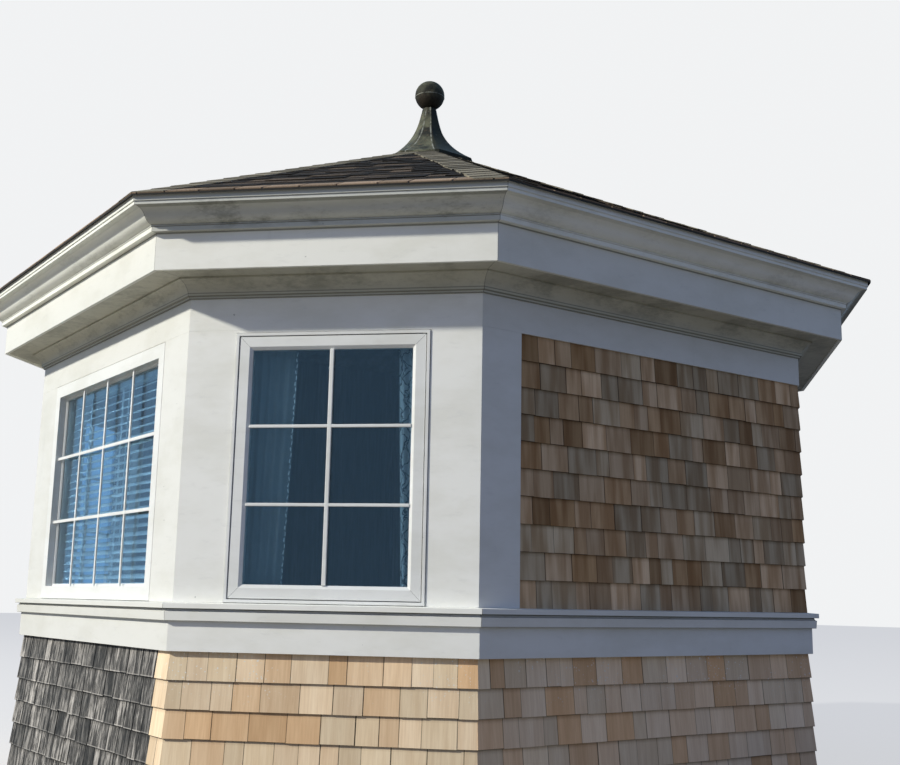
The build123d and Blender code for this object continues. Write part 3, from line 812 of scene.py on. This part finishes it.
def asphalt_material():
    """Mineral roofing. A piece's row value tells the field, the hips and the eave course apart."""
    colours = bpy.context.scene.dormer_colours
    dark, tan_tone, hip = colours.roof_dark, colours.roof_tan, colours.roof_hip
    made, tree, coords = start_material("Laminated Roofing", {"Roughness": 0.93, "Specular IOR Level": 0.1})
    row, rise = value_of(tree, "row"), value_of(tree, "rise")
    granules = node(tree, "ShaderNodeTexVoronoi", {"Vector": coords, "Scale": 420.0}, feature="F1")
    each = node(tree, "ShaderNodeSeparateColor", {0: granules.outputs["Color"]}).outputs[0]
    mixed = weighed((value_of(tree, "tone"), 0.5), (each, 0.25), (noise(coords, 5.5, 3, 0.6), 0.25))
    field = blend(ranged(mixed, 0.5, 0.9), toned(dark, 1.1), toned(tan_tone, 0.6))
    field = layer(field, value_of(tree, "shade"), 0.2, tuple(dark))
    hips = blend(ranged(mixed, 0.2, 0.8), toned(hip, 0.6), toned(hip, 1.15))
    eave = blend(ranged(mixed, 0.2, 0.8), toned(tan_tone, 0.5), toned(tan_tone, 1.25))
    base = blend(above(row, (FIELD_ROW + HIP_ROW) / 2), field, hips)
    base = blend(above(row, (HIP_ROW + EAVE_ROW) / 2), base, eave)
    base = blend(ranged(rise, 0.0, 0.02, 0.75, 0.0), base, toned(dark, 0.5))
    base = blend(ranged(rise, 0.74, 0.90, 0.0, 0.5), base, toned(dark, 0.7))
    return close_material(made, {"Base Color": base}, granules.outputs["Distance"], 0.6, 0.0015)


def backing_material(name, colour):
    """What shows in the joints between shingles: dark wood or felt."""
    made, _, coords = start_material(name, {"Roughness": 0.9})
    mottled = noise(coords, 30, 4, 0.6)
    return close_material(made, {"Base Color": blend(mottled, toned(colour, 0.6), colour)}, mottled, 0.2)


def patina_material(name, lift, seam=None):
    """Dull metal: brown and grey-green film, with painted highlight along the bell's ridges and paler along
    the ball's seam, whose height is given, and painted shade on the bell's +X side and on the ball's lower
    part. lift is how pale the film is."""
    made, tree, coords = start_material(name, {"Roughness": 0.7, "Specular IOR Level": 0.12})
    colour = toned(bpy.context.scene.dormer_colours.patina, lift)
    cloud = noise(coords, 7, 5, 0.65, 0.4)
    fine = noise(coords, 60, 4, 0.6)
    base = blend(ranged(cloud, 0.38, 0.62), toned(colour, 0.35), toned(colour, 1.7, 1.75, 1.45))
    base = blend(ranged(fine, 0.5, 0.7, 0, 0.5), base, toned((0.10, 0.072, 0.042), lift))
    runs = mask(tree, "Rain Streaks", Vector=coords, Width=30.0, Cover=0.5)
    base = layer(base, runs, 0.5, toned(colour, 0.4))
    place = axes(coords)
    if seam is None:
        # Painted shade on the bell's facets that face +X
        painted_shade = minus(times(place["X"], SIDE_HALF / HALF), absolute(place["Y"]))
        base = blend(ranged(painted_shade, -0.004, 0.01, 0, 0.75), base, toned(colour, 0.12))
        bright = ranged(off_corners(place, atan2(SIDE_HALF, HALF)), 0.002, 0.006, 1, 0)
    else:
        # Painted shade, darker from just above the seam downwards
        painted_shade = ranged(place["Z"], seam - 0.05, seam + 0.03, 0.65, 0)
        base = blend(painted_shade, base, (0.030, 0.022, 0.016, 1))
        bright = mask(tree, "Height Band", Low=seam - 0.0016, High=seam + 0.0016, Fade=0.0015)
    # How much paler the ridges or the seam are, varying from place to place: painted highlight on the ridges
    lightening = ranged(noise(coords, 26, 3, 0.6), 0.40, 0.60, 0.10, 0.8)
    base = layer(base, bright, lightening, (0.34, 0.35, 0.30, 1))
    flecks = mask(tree, "Specks", Vector=coords, Size=85.0, Cover=0.05)
    base = layer(base, flecks, 0.7, (0.30, 0.31, 0.28, 1))
    links = {"Base Color": base, "Roughness": ranged(cloud, 0.2, 0.8, 0.55, 0.8, "LINEAR")}
    return close_material(made, links, fine, 0.2)


def glass_material():
    """Clear panes. Light on its way to the room passes them."""
    constants = {"Roughness": 0.02, "Transmission Weight": 1.0, "IOR": 1.5}
    made, tree, coords = start_material("Pane Glass", constants)
    shader = tree.nodes["Principled BSDF"]
    film = noise(coords, 3.0, 4, 0.6)
    tree.links.new(blend(film, (0.57, 0.71, 0.81, 1), (0.50, 0.65, 0.76, 1)), shader.inputs["Base Color"])
    tree.links.new(ranged(film, 0.3, 0.8, 0.0, 0.04, "LINEAR"), shader.inputs["Roughness"])
    clear = node(tree, "ShaderNodeBsdfTransparent", {"Color": (0.25, 0.31, 0.38, 1)})
    shadow = node(tree, "ShaderNodeLightPath").outputs["Is Shadow Ray"]
    mixed = node(tree, "ShaderNodeMixShader", {0: shadow, 1: shader.outputs[0], 2: clear.outputs[0]})
    tree.links.new(mixed.outputs[0], tree.nodes["Material Output"].inputs["Surface"])
    return made


def timber_material(name, pale, dark, axis):
    """Planed boards. axis is the direction of the grain."""
    made, _, coords = start_material(name, {"Roughness": 0.7})
    fine, broad = (tuple(share if i == axis else 1.0 for i in range(3)) for share in (0.06, 0.02))
    lines = noise(scaled(coords, fine), 60, 5, 0.6, 0.4)
    boards = noise(scaled(coords, broad), 9, 1, 0.4)
    base = blend(ranged(lines, 0.3, 0.7), pale, dark)
    base = blend(ranged(boards, 0.4, 0.6, 0, 0.4), base, toned(dark, 0.7))
    return close_material(made, {"Base Color": base}, lines, 0.25)


def cloth_material():
    """Thin pale weave that lets light through. Where the patterned value is 1 it is closer and
    printed with branching lines; elsewhere its inner edge has a wavy braid."""
    made, tree, coords = start_material("Sheer Cloth", {"Roughness": 0.9})
    flat = node(tree, "ShaderNodeUVMap").outputs["UV"]
    u, v = axes(flat)["X"], axes(flat)["Y"]
    patterned = value_of(tree, "patterned")
    weave = times(plus(math("SINE", times(u, 2400.0)), math("SINE", times(v, 2400.0))), 0.12)
    base = blend(noise(coords, 9, 3, 0.5), (0.46, 0.48, 0.46, 1), (0.60, 0.62, 0.59, 1))
    wave = times(math("SINE", times(v, 120.0)), 0.016)
    braid = below(absolute(minus(plus(u, wave), 0.968)), 0.012)
    braid = times(braid, minus(1.0, patterned))
    braid = times(braid, above(math("SINE", times(v, 260.0)), -0.4))
    ragged = noise(scaled(flat, (3, 26, 1)), 1.0, 3, 0.6)
    stems = []
    for turns, swing, shift in ((43.0, 0.20, 0.0), (71.0, 0.26, 0.31), (29.0, 0.34, 0.64)):
        bend = plus(plus(times(math("SINE", times(v, turns)), swing), shift), ragged)
        place = math("FRACT", plus(times(u, 2.3), bend))
        stems.append(below(absolute(minus(place, 0.5)), 0.045))
    stem = math("MAXIMUM", math("MAXIMUM", stems[0], stems[1]), stems[2])
    base = layer(base, patterned, 0.6, (0.50, 0.51, 0.48, 1))
    base = layer(base, stem, patterned, (0.06, 0.07, 0.07, 1))
    base = blend(braid, base, (0.80, 0.80, 0.75, 1))
    cover = plus(weave, ranged(patterned, 0, 1, 0.33, 0.7, "LINEAR"))
    links = {"Base Color": base, "Alpha": math("MAXIMUM", cover, braid)}
    return close_material(made, links, weave, 0.1, 0.0005)


def rod_material():
    made, _, coords = start_material("Rod Metal", {"Roughness": 0.35, "Metallic": 0.9})
    drawn = noise(scaled(coords, (30, 30, 200)), 6, 3, 0.5)
    base = blend(drawn, (0.45, 0.45, 0.44, 1), (0.58, 0.57, 0.55, 1))
    return close_material(made, {"Base Color": base}, drawn, 0.05, 0.0005)


def slat_material():
    made, tree, coords = start_material("Blind Slats", {"Roughness": 0.45})
    film = noise(coords, 14, 4, 0.6)
    base = blend(film, (0.44, 0.51, 0.53, 1), (0.57, 0.62, 0.61, 1))
    dust = mask(tree, "Specks", Vector=coords, Size=120.0, Cover=0.05)
    base = layer(base, dust, 0.3, (0.4, 0.4, 0.4, 1))
    return close_material(made, {"Base Color": base}, film, 0.05, 0.0005)


# Where the mouldings darken: low, high, fade, strength and cover of each band. Thin bands with full cover
# are painted shade in the grooves and under the lips, and the wider patchy bands are mildew. The fascia's
# band is a painted shadow under the crown, and the water table's are painted shadows under the cap and the
# apron

CROWN_SHADE_AND_GRIME = ((EAVE_Z - 0.0285, EAVE_Z - 0.0255, 0.0015, 0.35, 1.0),
               (EAVE_Z - 0.046, EAVE_Z - 0.043, 0.002, 0.5, 0.85),
               (EAVE_Z - 0.075, EAVE_Z - 0.045, 0.03, 0.6, 0.36),
               (CROWN_FOOT + 0.021, CROWN_FOOT + 0.024, 0.0015, 0.6, 1.0),
               (CROWN_FOOT + 0.026, CROWN_FOOT + 0.036, 0.03, 0.65, 0.44))
FASCIA_PAINTED_SHADOW = ((CROWN_FOOT - 0.005, CROWN_FOOT + 0.01, 0.004, 0.7, 1.0),)
BED_SHADE_AND_GRIME = ((FRIEZE_FOOT + 0.155, FRIEZE_FOOT + 0.158, 0.0015, 0.7, 1.0),
             (FRIEZE_FOOT + 0.167, FRIEZE_FOOT + 0.170, 0.0015, 0.6, 1.0),
             (FRIEZE_FOOT + 0.18, FRIEZE_FOOT + 0.183, 0.0015, 0.6, 1.0),
             (FRIEZE_FOOT + 0.2, FRIEZE_FOOT + 0.27, 0.03, 0.45, 0.5))
CAP_PAINTED_SHADOW = ((SILL - 0.031, SILL - 0.027, 0.001, 0.8, 1.0),
             (SILL - 0.085, SILL - 0.081, 0.001, 0.6, 1.0))


# Operators, one for each group of pieces

class DORMER_OT_groups(bpy.types.Operator):
    """Build the node groups that the finishes share"""
    bl_idname = "dormer.groups"
    bl_label = "Shared Effects"

    def execute(self, context):
        new_group("Rain Streaks", rain_streaks, {"Vector": None, "Width": 14.0, "Cover": 0.5})
        new_group("Wood Grain", wood_grain, {"Vector": None}, ("Lines", "Drift", "Height"))
        new_group("Specks", specks, {"Vector": None, "Size": 70.0, "Cover": 0.1})
        new_group("Height Band", height_band, {"Low": 0.0, "High": 1.0, "Fade": 0.05})
        new_group("Mildew", mildew, {"Vector": None, "Size": 2.2, "Cover": 0.5})
        new_group("Mitre Lines", mitre_lines, {"Width": 0.0016})
        new_group("Shingle Edges", shingle_edges, {"Sides": 0.5, "Head": 0.7, "Inset": 0.482}, ("Level",))
        return {"FINISHED"}


class DORMER_OT_structure(bpy.types.Operator):
    """Finish the framed walls, roof frame and floor"""
    bl_idname = "dormer.structure"
    bl_label = "Walls and Floor"

    def execute(self, context):
        upright = timber_material("Lining", (0.34, 0.33, 0.31, 1), (0.25, 0.24, 0.22, 1), 2)
        level = timber_material("Floor Wood", (0.40, 0.27, 0.15, 1), (0.27, 0.17, 0.09, 1), 0)
        dress(("front_wall", "front_corner_walls", "side_walls", "back_corner_walls", "back_wall",
               "roof_post", "roof_frame_sides", "roof_frame_corners"), upright)
        dress(("floor_deck", "floor_joists"), level)
        return {"FINISHED"}


def sides_and_corners(*stems):
    """Names of packed rings, which have one node for the four sides and one for the corners."""
    return [f"{stem}_{where}" for stem in stems for where in ("sides", "corners")]


class DORMER_OT_paintwork(bpy.types.Operator):
    """Paint the boards and mouldings and ease their edges"""
    bl_idname = "dormer.paintwork"
    bl_label = "Paintwork"

    def execute(self, context):
        sizes, colours = context.scene.dormer_sizes, context.scene.dormer_colours
        # lift, under and top are how light all boards, the bed and the crown are painted beside the trim, as
        # painted light and shade: the corners are lighter, the bed is darker and warmer as painted shade
        # under the eave, and the crown is lighter on the sides and darker on the corners. The last value is
        # how strong the crown's bands of painted shade and mildew are
        for where, lift, under, top, shade_and_grime in (("Side", 1.0, 0.76, 1.18, 0.35),
                                               ("Corner", CORNER_PAINTED_LIGHT, 0.60, 0.67, 1.0)):
            tone = toned(colours.trim, lift)
            crown_bands = [band[:3] + (band[3] * shade_and_grime, band[4]) for band in CROWN_SHADE_AND_GRIME]
            boards = paint_material(f"{where} Board Paint", tone, 0.2)
            fascia = paint_material(f"{where} Fascia Paint", toned(tone, 1.02, 1.015, 0.99), 0.25,
                                    FASCIA_PAINTED_SHADOW, mitres=0.5)
            bed = paint_material(f"{where} Soffit Paint", toned(toned(tone, under), 1, 0.97, 0.85), 0.3,
                                 BED_SHADE_AND_GRIME, mitres=0.6)
            crown = paint_material(f"{where} Cornice Paint", toned(toned(tone, top), 1, 1.01, 0.98), 0.25,
                                   crown_bands, runs=0.1, mitres=0.7)
            cap = paint_material(f"{where} Water Table Paint", toned(tone, 1.01, 1.01, 1), 0.2,
                                 CAP_PAINTED_SHADOW, strewn=0.008, mitres=0.6)
            flat = ["front_boards", "front_corner_boards", "side_end_boards"]
            for names, material in (
                    (flat + sides_and_corners("frieze_board", "water_table_board"), boards),
                    (sides_and_corners("fascia_board"), fascia),
                    (sides_and_corners("bed_moulding", "soffit_board"), bed),
                    (sides_and_corners("crown_moulding"), crown),
                    (sides_and_corners("water_table_cap", "water_table_apron"), cap)):
                shown = [name for name in names if ("corner" in name) == (where == "Corner")]
                dress(shown, material, sizes.softness)
        return {"FINISHED"}


class DORMER_OT_wall_shingles(bpy.types.Operator):
    """Lay new cedar shingles on the side and rear walls"""
    bl_idname = "dormer.wall_shingles"
    bl_label = "Wall Shingles"

    def execute(self, context):
        sizes, colours = context.scene.dormer_sizes, context.scene.dormer_colours
        rng = random.Random(sizes.seed)
        template = shingle_template()
        tones = [tuple(c) for c in (colours.cedar_pale, colours.cedar_warm, colours.cedar_grey)]
        cedar = cedar_material("New Cedar", tones, 0.4, (0.74, 1.26), 0.8, (0.52, 0.41, 0.31, 1))
        dress(sides_and_corners("wall_shingles"), backing_material("Cedar Backing", (0.04, 0.028, 0.02, 1)))
        pieces = {}
        for index in range(RIGHT, LEFT + 1):
            half = wall(index)[1]
            low = -half + CORNER_BOARD_W + BOARD_GAP if index == RIGHT else -half
            high = half - CORNER_BOARD_W - BOARD_GAP if index == LEFT else half
            piece = shingle_wall(template, rng, index, SILL, WALL_COURSES, low, high, 0.0, WALL_LAYER,
                                 1.0, TIGHT)
            for side, end in ((-1, low), (1, high)):
                # An end short of the corner meets a corner board and is cut square
                if abs(end) < half:
                    cut(piece, (end, 0, 0), (side, 0, 0))
                else:
                    mitre_end(piece, index, side)
            cut(piece, (0, 0, FRIEZE_FOOT - CLEAR), (0, 0, 1))
            pieces[index] = turn(piece, index)
        remove(template)
        for parity, name in ((0, "cedar_wall_sides"), (1, "cedar_wall_rear_corners")):
            group = [piece for index, piece in pieces.items() if index % 2 == parity]
            finished(group, name, cedar)
        return {"FINISHED"}


def skirt_piece(template, rng, index, low, high, rough, gaps, ends, palest=False):
    """The skirt's shingles on one wall, mitred at one end or both."""
    piece = shingle_wall(template, rng, index, 0.0, SKIRT_COURSES, low, high, SKIRT_FLARE, SKIRT_LAYER,
                         rough, gaps, palest)
    for side in ends:
        mitre_end(piece, index, side)
    cut(piece, (0, 0, SKIRT_TOP - CLEAR), (0, 0, 1))
    cut(piece, (0, 0, FOOT_CLEAR), (0, 0, -1))
    return turn(piece, index)


class DORMER_OT_skirt_shingles(bpy.types.Operator):
    """Lay the flared skirt: weathered shingles in front and new cedar round the rest"""
    bl_idname = "dormer.skirt_shingles"
    bl_label = "Skirt Shingles"

    def execute(self, context):
        sizes, colours = context.scene.dormer_sizes, context.scene.dormer_colours
        rng = random.Random(sizes.seed + 1)
        template = shingle_template()
        tones = (toned(colours.cedar_pale, 1.27, 1.37, 1.53), toned(colours.cedar_warm, 1.78, 1.84, 2.05),
                 toned(colours.cedar_grey, 1.51, 1.5, 1.55))
        cedar = cedar_material("Skirt Cedar", tones, 0.3, (0.84, 1.08), 0.3, (0.66, 0.54, 0.42, 1),
                               splashes=0.8)
        weathered = weathered_material()
        dress(["front_skirt_shingles"] + sides_and_corners("skirt_shingles"),
              backing_material("Skirt Backing", (0.012, 0.010, 0.008, 1)))
        half = wall(FRONT)[1]
        patch = half - CORNER_PATCH
        corners = [skirt_piece(template, rng, FRONT, patch, half, 0.6, TIGHT, (1,), palest=True)]
        front = [skirt_piece(template, rng, FRONT, -half, patch - PATCH_GAP, 1.8, LOOSE, (1, -1))]
        sides = []
        for index in range(RIGHT_CORNER, LEFT_CORNER + 1):
            half = wall(index)[1]
            piece = skirt_piece(template, rng, index, -half, half, 1.0, TIGHT, (1, -1))
            (sides if index % 2 == 0 else corners).append(piece)
        remove(template)
        finished(front, "weathered_skirt_front", weathered)
        finished(sides, "cedar_skirt_sides", cedar)
        finished(corners, "cedar_skirt_corners", cedar)
        return {"FINISHED"}


class DORMER_OT_roof(bpy.types.Operator):
    """Lay the laminated roofing tabs and the folded hip shingles"""
    bl_idname = "dormer.roof"
    bl_label = "Roof Shingles"

    def execute(self, context):
        rng = random.Random(context.scene.dormer_sizes.seed + 2)
        roofing = asphalt_material()
        dress(sides_and_corners("roof_shingles"), backing_material("Roof Underlay", (0.02, 0.017, 0.014, 1)))
        template = shingle_template()
        planes = [roof_tabs(template, rng, index) for index in range(8)]
        remove(template)
        finished(planes[0::2], "roof_tabs_sides", roofing)
        finished(planes[1::2], "roof_tabs_corners", roofing)
        caps = finished([hip_caps_piece(rng)], "hip_cap_shingles", roofing)
        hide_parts("hip_caps")
        return {"FINISHED"}


class DORMER_OT_finial(bpy.types.Operator):
    """Round off the ball with its seam and give the finial its patina"""
    bl_idname = "dormer.finial"
    bl_label = "Finial"

    def execute(self, context):
        low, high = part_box("finial_ball")
        radius = BALL_SHARE * (high.x - low.x) / 2
        centre = Vector((0, 0, high.z - radius))
        seam = centre.z + BALL_SEAM_UP
        deselect()
        bpy.ops.mesh.primitive_uv_sphere_add(segments=64, ring_count=40, radius=radius, location=centre)
        ball = placed()
        for level in (-SEAM_HALF, 0.0, SEAM_HALF):
            with picked(ball):
                bpy.ops.mesh.bisect(plane_co=(0, 0, seam + level), plane_no=(0, 0, 1))
        with picked(ball, lambda co: abs(co.z - seam) < SEAM_HALF / 5):
            bpy.ops.transform.resize(value=(SEAM_SWELL, SEAM_SWELL, 1))
        bpy.ops.object.shade_smooth_by_angle(angle=radians(30))
        ball = finished([ball], "ball_with_seam", patina_material("Ball Patina", 1.3, seam))
        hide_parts("finial_ball")
        dress(["finial_bell"], patina_material("Bell Patina", 1.9), BELL_EASE)
        return {"FINISHED"}


def bar(low, high, ease):
    """One bar of a window, with its outer edges eased."""
    obj = block(low, high)
    with picked(obj, lambda co: co.y < (low[1] + high[1]) / 2, edges=True):
        bpy.ops.mesh.bevel(offset=ease, offset_type="OFFSET", segments=2, affect="EDGES")
    return obj


def window_bars(distance, opening, columns, rows, depths, widths, ease):
    """Crossing bars of one window. depths are how far behind the boards they begin and end,
    and widths are those of the uprights and of the rails, which stand a hair behind."""
    half, foot, head = opening
    front, back = (depth - distance for depth in depths)
    bars = []
    for i in range(1, columns):
        x = -half + 2 * half * i / columns
        bars.append(bar((x - widths[0] / 2, front, foot), (x + widths[0] / 2, back, head), ease))
    for i in range(1, rows):
        z = foot + (head - foot) * i / rows
        bars.append(bar((-half, front + RAIL_BEHIND, z - widths[1] / 2),
                        (half, back - RAIL_BEHIND, z + widths[1] / 2), ease))
    return joined(bars)


def sash_mitres():
    """Fine joints across the corners of a corner window's sash."""
    outer, inner = SASH_EDGES
    inset = (outer + inner) / 2
    reach = (inner - outer) * sqrt(2) / 2
    foot, head = SASH_HEIGHTS
    lines = []
    for side in (1, -1):
        for end in (1, -1):
            line = block((-reach, -JOINT_PROUD, -JOINT_HALF), (reach, JOINT_DEEP, JOINT_HALF))
            place = (side * (SASH_HALF - inset), -SASH_FACE,
                     (foot + head) / 2 + end * ((head - foot) / 2 - inset))
            line.data.transform(Matrix.Translation(place)
                                @ Matrix.Rotation(radians(-45 * side * end), 4, "Y"))
            lines.append(line)
    return joined(lines)


class DORMER_OT_windows(bpy.types.Operator):
    """Fit the window bars and finish the frames, sashes and panes"""
    bl_idname = "dormer.windows"
    bl_label = "Windows"

    def execute(self, context):
        sizes, colours = context.scene.dormer_sizes, context.scene.dormer_colours
        paint = paint_material("Window Paint", tuple(colours.window), 0.15)
        dress(("window_frames", "window_sashes"), paint, sizes.softness)
        dress(["window_glass"], glass_material())
        front = window_bars(HALF, FRONT_OPENING, 4, 3, FRONT_BAR_DEPTHS, (sizes.bar_w, sizes.bar_w),
                            FRONT_BAR_EASE)
        finished([front], "front_window_bars", paint)
        bars = [turn(window_bars(CORNER_DISTANCE, CORNER_OPENING, 2, 3, CORNER_BAR_DEPTHS,
                                 CORNER_BAR_WIDTHS, CORNER_BAR_EASE), index)
                for index in (RIGHT_CORNER, LEFT_CORNER)]
        finished(bars, "corner_window_bars", paint)
        joints = [turn(sash_mitres(), index) for index in (RIGHT_CORNER, LEFT_CORNER)]
        dark = paint_material("Sash Joint", (0.22, 0.22, 0.21, 1), 0.2)
        finished(joints, "corner_sash_joints", dark)
        return {"FINISHED"}


class DORMER_OT_blind(bpy.types.Operator):
    """Finish the slatted blind and hang its tilt wand"""
    bl_idname = "dormer.blind"
    bl_label = "Blind"

    def execute(self, context):
        slats = slat_material()
        dress(["front_blind"], slats)
        middle = WAND_TOP - Vector((0, 0, WAND_LENGTH / 2))
        deselect()
        bpy.ops.mesh.primitive_cylinder_add(vertices=6, radius=WAND_R, depth=WAND_LENGTH, location=middle)
        wand = placed()
        with picked(wand, lambda co: co.z > middle.z, edges=True):
            bpy.ops.transform.resize(value=(0.55, 0.55, 1), center_override=WAND_TOP)
        finished([wand], "blind_wand", slats)
        return {"FINISHED"}


def curtain(index, edge, width, narrowing, patterned, rng):
    """A gathered panel below the rod, from its outer edge inwards. Its folds deepen and wander a
    little towards the foot, where it is narrower by a share of its width."""
    low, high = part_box("curtains")[0].z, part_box("curtains")[1].z
    columns = max(20, int(width / CLOTH_STEP))
    deselect()
    bpy.ops.mesh.primitive_grid_add(x_subdivisions=columns, y_subdivisions=36, size=1)
    obj = bpy.context.object
    phase, drift = rng.uniform(0, 6), rng.uniform(0.8, 1.6)
    inwards = -1 if edge > 0 else 1
    for vert in obj.data.vertices:
        u, v = vert.co.x + 0.5, vert.co.y + 0.5
        swing = FOLD_DEPTH + FOLD_DEEPER * (1 - v)
        angle = 2 * pi * width / FOLD_PITCH * u
        angle += 0.5 * sin(drift * u * 6 + phase) + 0.35 * sin(3.1 * v + phase)
        out = swing * sin(angle) * (0.8 + 0.2 * sin(5 * u + phase))
        x = edge + inwards * width * u * (1 - narrowing * (1 - v))
        vert.co = (x, out - (CORNER_DISTANCE - ROD_BACK), low + (high - low) * v)
    obj.data.update()
    area = sum(face.area for face in obj.data.polygons)
    attribute = obj.data.attributes.new("patterned", "FLOAT", "POINT")
    attribute.data.foreach_set("value", [patterned] * len(obj.data.vertices))
    if edge > 0:
        obj.data.flip_normals()
    solid = obj.modifiers.new("Cloth thickness", "SOLIDIFY")
    solid.thickness = CLOTH_T
    solid.offset = 0
    activate(obj)
    bpy.ops.object.modifier_apply(modifier=solid.name)
    bpy.ops.object.shade_smooth()
    return turn(obj, index), (area / (high - low), high - low)


class DORMER_OT_curtains(bpy.types.Operator):
    """Hang the gathered curtains of the corner windows on their rods"""
    bl_idname = "dormer.curtains"
    bl_label = "Curtains"

    def execute(self, context):
        rng = random.Random(context.scene.dormer_sizes.seed + 3)
        cloth = cloth_material()
        dress(["curtain_rods"], rod_material())
        for index, side in ((RIGHT_CORNER, "right"), (LEFT_CORNER, "left")):
            for end, edge, width, narrowing, patterned in (
                    ("wide", -CURTAIN_EDGE, 0.260, 0.14, 0.0), ("narrow", CURTAIN_EDGE, 0.150, 0.24, 1.0)):
                piece, flat = curtain(index, edge, width, narrowing, patterned, rng)
                finished([piece], f"{side}_window_curtain_{end}", cloth)
        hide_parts("curtains")
        return {"FINISHED"}


def mixed_shader(tree, chance, first, second):
    return node(tree, "ShaderNodeMixShader", {0: chance, 1: first, 2: second}).outputs[0]


def add_floor():
    """The studio floor: pale to the camera, duller for the light that it throws back."""
    floor = block((-FLOOR_REACH, -FLOOR_REACH, -0.05), (FLOOR_REACH, FLOOR_REACH, -CLEAR))
    floor.name = floor.data.name = "floor"
    made, tree, _ = start_material("Studio Floor", {"Roughness": 0.9, "Base Color": FLOOR_COLOUR})
    seen = node(tree, "ShaderNodeLightPath").outputs["Is Camera Ray"]
    pale = node(tree, "ShaderNodeBsdfDiffuse", {"Color": (0.80, 0.80, 0.79, 1)}).outputs[0]
    glow = node(tree, "ShaderNodeEmission", {"Color": (0.84, 0.85, 0.86, 1), "Strength": 1.0}).outputs[0]
    shown = mixed_shader(tree, 0.7, pale, glow)
    both = mixed_shader(tree, seen, tree.nodes["Principled BSDF"].outputs[0], shown)
    tree.links.new(both, tree.nodes["Material Output"].inputs["Surface"])
    floor.data.materials.append(made)


def add_key(scene):
    toward = Vector(KEY_DIRECTION).normalized()
    lamp = bpy.data.lights.new("key", "AREA")
    lamp.energy = KEY_POWER
    lamp.size = KEY_SIZE
    lamp.color = KEY_COLOUR
    key = bpy.data.objects.new("key", lamp)
    key.location = toward * KEY_DISTANCE + Vector((0, 0, KEY_AIM_Z))
    key.rotation_euler = toward.to_track_quat("Z", "Y").to_euler()
    scene.collection.objects.link(key)


def add_surround(scene):
    """A pale backdrop for the camera, a blue surround for reflections and a blue fill for the rest."""
    world = bpy.data.worlds.new("studio")
    world.use_nodes = True
    tree = world.node_tree
    path = node(tree, "ShaderNodeLightPath").outputs
    parts = ((BACKDROP_COLOUR, 1.0), (FILL_COLOUR, FILL_STRENGTH), (MIRRORED_COLOUR, 1.0))
    shown, fill, mirrored = (node(tree, "ShaderNodeBackground", {0: colour, 1: strength}).outputs[0]
                             for colour, strength in parts)
    mixed = mixed_shader(tree, path["Is Glossy Ray"], fill, mirrored)
    mixed = mixed_shader(tree, path["Is Camera Ray"], mixed, shown)
    tree.links.new(mixed, tree.nodes["World Output"].inputs["Surface"])
    scene.world = world


def add_camera(scene):
    data = bpy.data.cameras.new("camera")
    data.lens = CAMERA_LENS
    data.sensor_width = 36
    data.clip_end = 300
    camera = bpy.data.objects.new("camera", data)
    yaw, pitch, roll = (radians(angle) for angle in CAMERA_TURNS)
    ahead = Vector((-sin(yaw) * cos(pitch), cos(yaw) * cos(pitch), sin(pitch)))
    across = Vector((cos(yaw), sin(yaw), 0))
    up = across.cross(ahead)
    right = across * cos(roll) + up * sin(roll)
    over = up * cos(roll) - across * sin(roll)
    turned = Matrix((right, over, -ahead)).transposed().to_4x4()
    camera.matrix_world = Matrix.Translation(CAMERA_PLACE) @ turned
    scene.collection.objects.link(camera)
    scene.camera = camera


class DORMER_OT_stage(bpy.types.Operator):
    """Set the pale floor, the studio light and the camera"""
    bl_idname = "dormer.stage"
    bl_label = "Stage"

    def execute(self, context):
        add_floor()
        add_key(context.scene)
        add_surround(context.scene)
        add_camera(context.scene)
        context.scene.view_settings.view_transform = "Standard"
        return {"FINISHED"}


OPERATORS = (DORMER_OT_groups, DORMER_OT_structure, DORMER_OT_paintwork, DORMER_OT_wall_shingles,
             DORMER_OT_skirt_shingles, DORMER_OT_roof, DORMER_OT_finial, DORMER_OT_windows,
             DORMER_OT_blind, DORMER_OT_curtains, DORMER_OT_stage)


class DORMER_PT_panel(bpy.types.Panel):
    """Lists the dormer's operators, sizes and colours"""
    bl_idname = "DORMER_PT_panel"
    bl_label = "Turret Dormer"
    bl_space_type = "VIEW_3D"
    bl_region_type = "UI"
    bl_category = "Dormer"

    def draw(self, context):
        layout = self.layout
        for kind in OPERATORS:
            layout.operator(kind.bl_idname)
        for group in (context.scene.dormer_sizes, context.scene.dormer_colours):
            for name in group.bl_rna.properties.keys():
                if name not in ("rna_type", "name"):
                    layout.prop(group, name)


CLASSES = (DormerSizes, DormerColours) + OPERATORS + (DORMER_PT_panel,)


def register():
    for kind in CLASSES:
        bpy.utils.register_class(kind)
    bpy.types.Scene.dormer_sizes = PointerProperty(type=DormerSizes)
    bpy.types.Scene.dormer_colours = PointerProperty(type=DormerColours)


def unregister():
    del bpy.types.Scene.dormer_colours
    del bpy.types.Scene.dormer_sizes
    for kind in reversed(CLASSES):
        bpy.utils.unregister_class(kind)


def main():
    register()
    for kind in OPERATORS:
        area, name = kind.bl_idname.split(".")
        getattr(getattr(bpy.ops, area), name)()


if __name__ == "__main__":
    main()
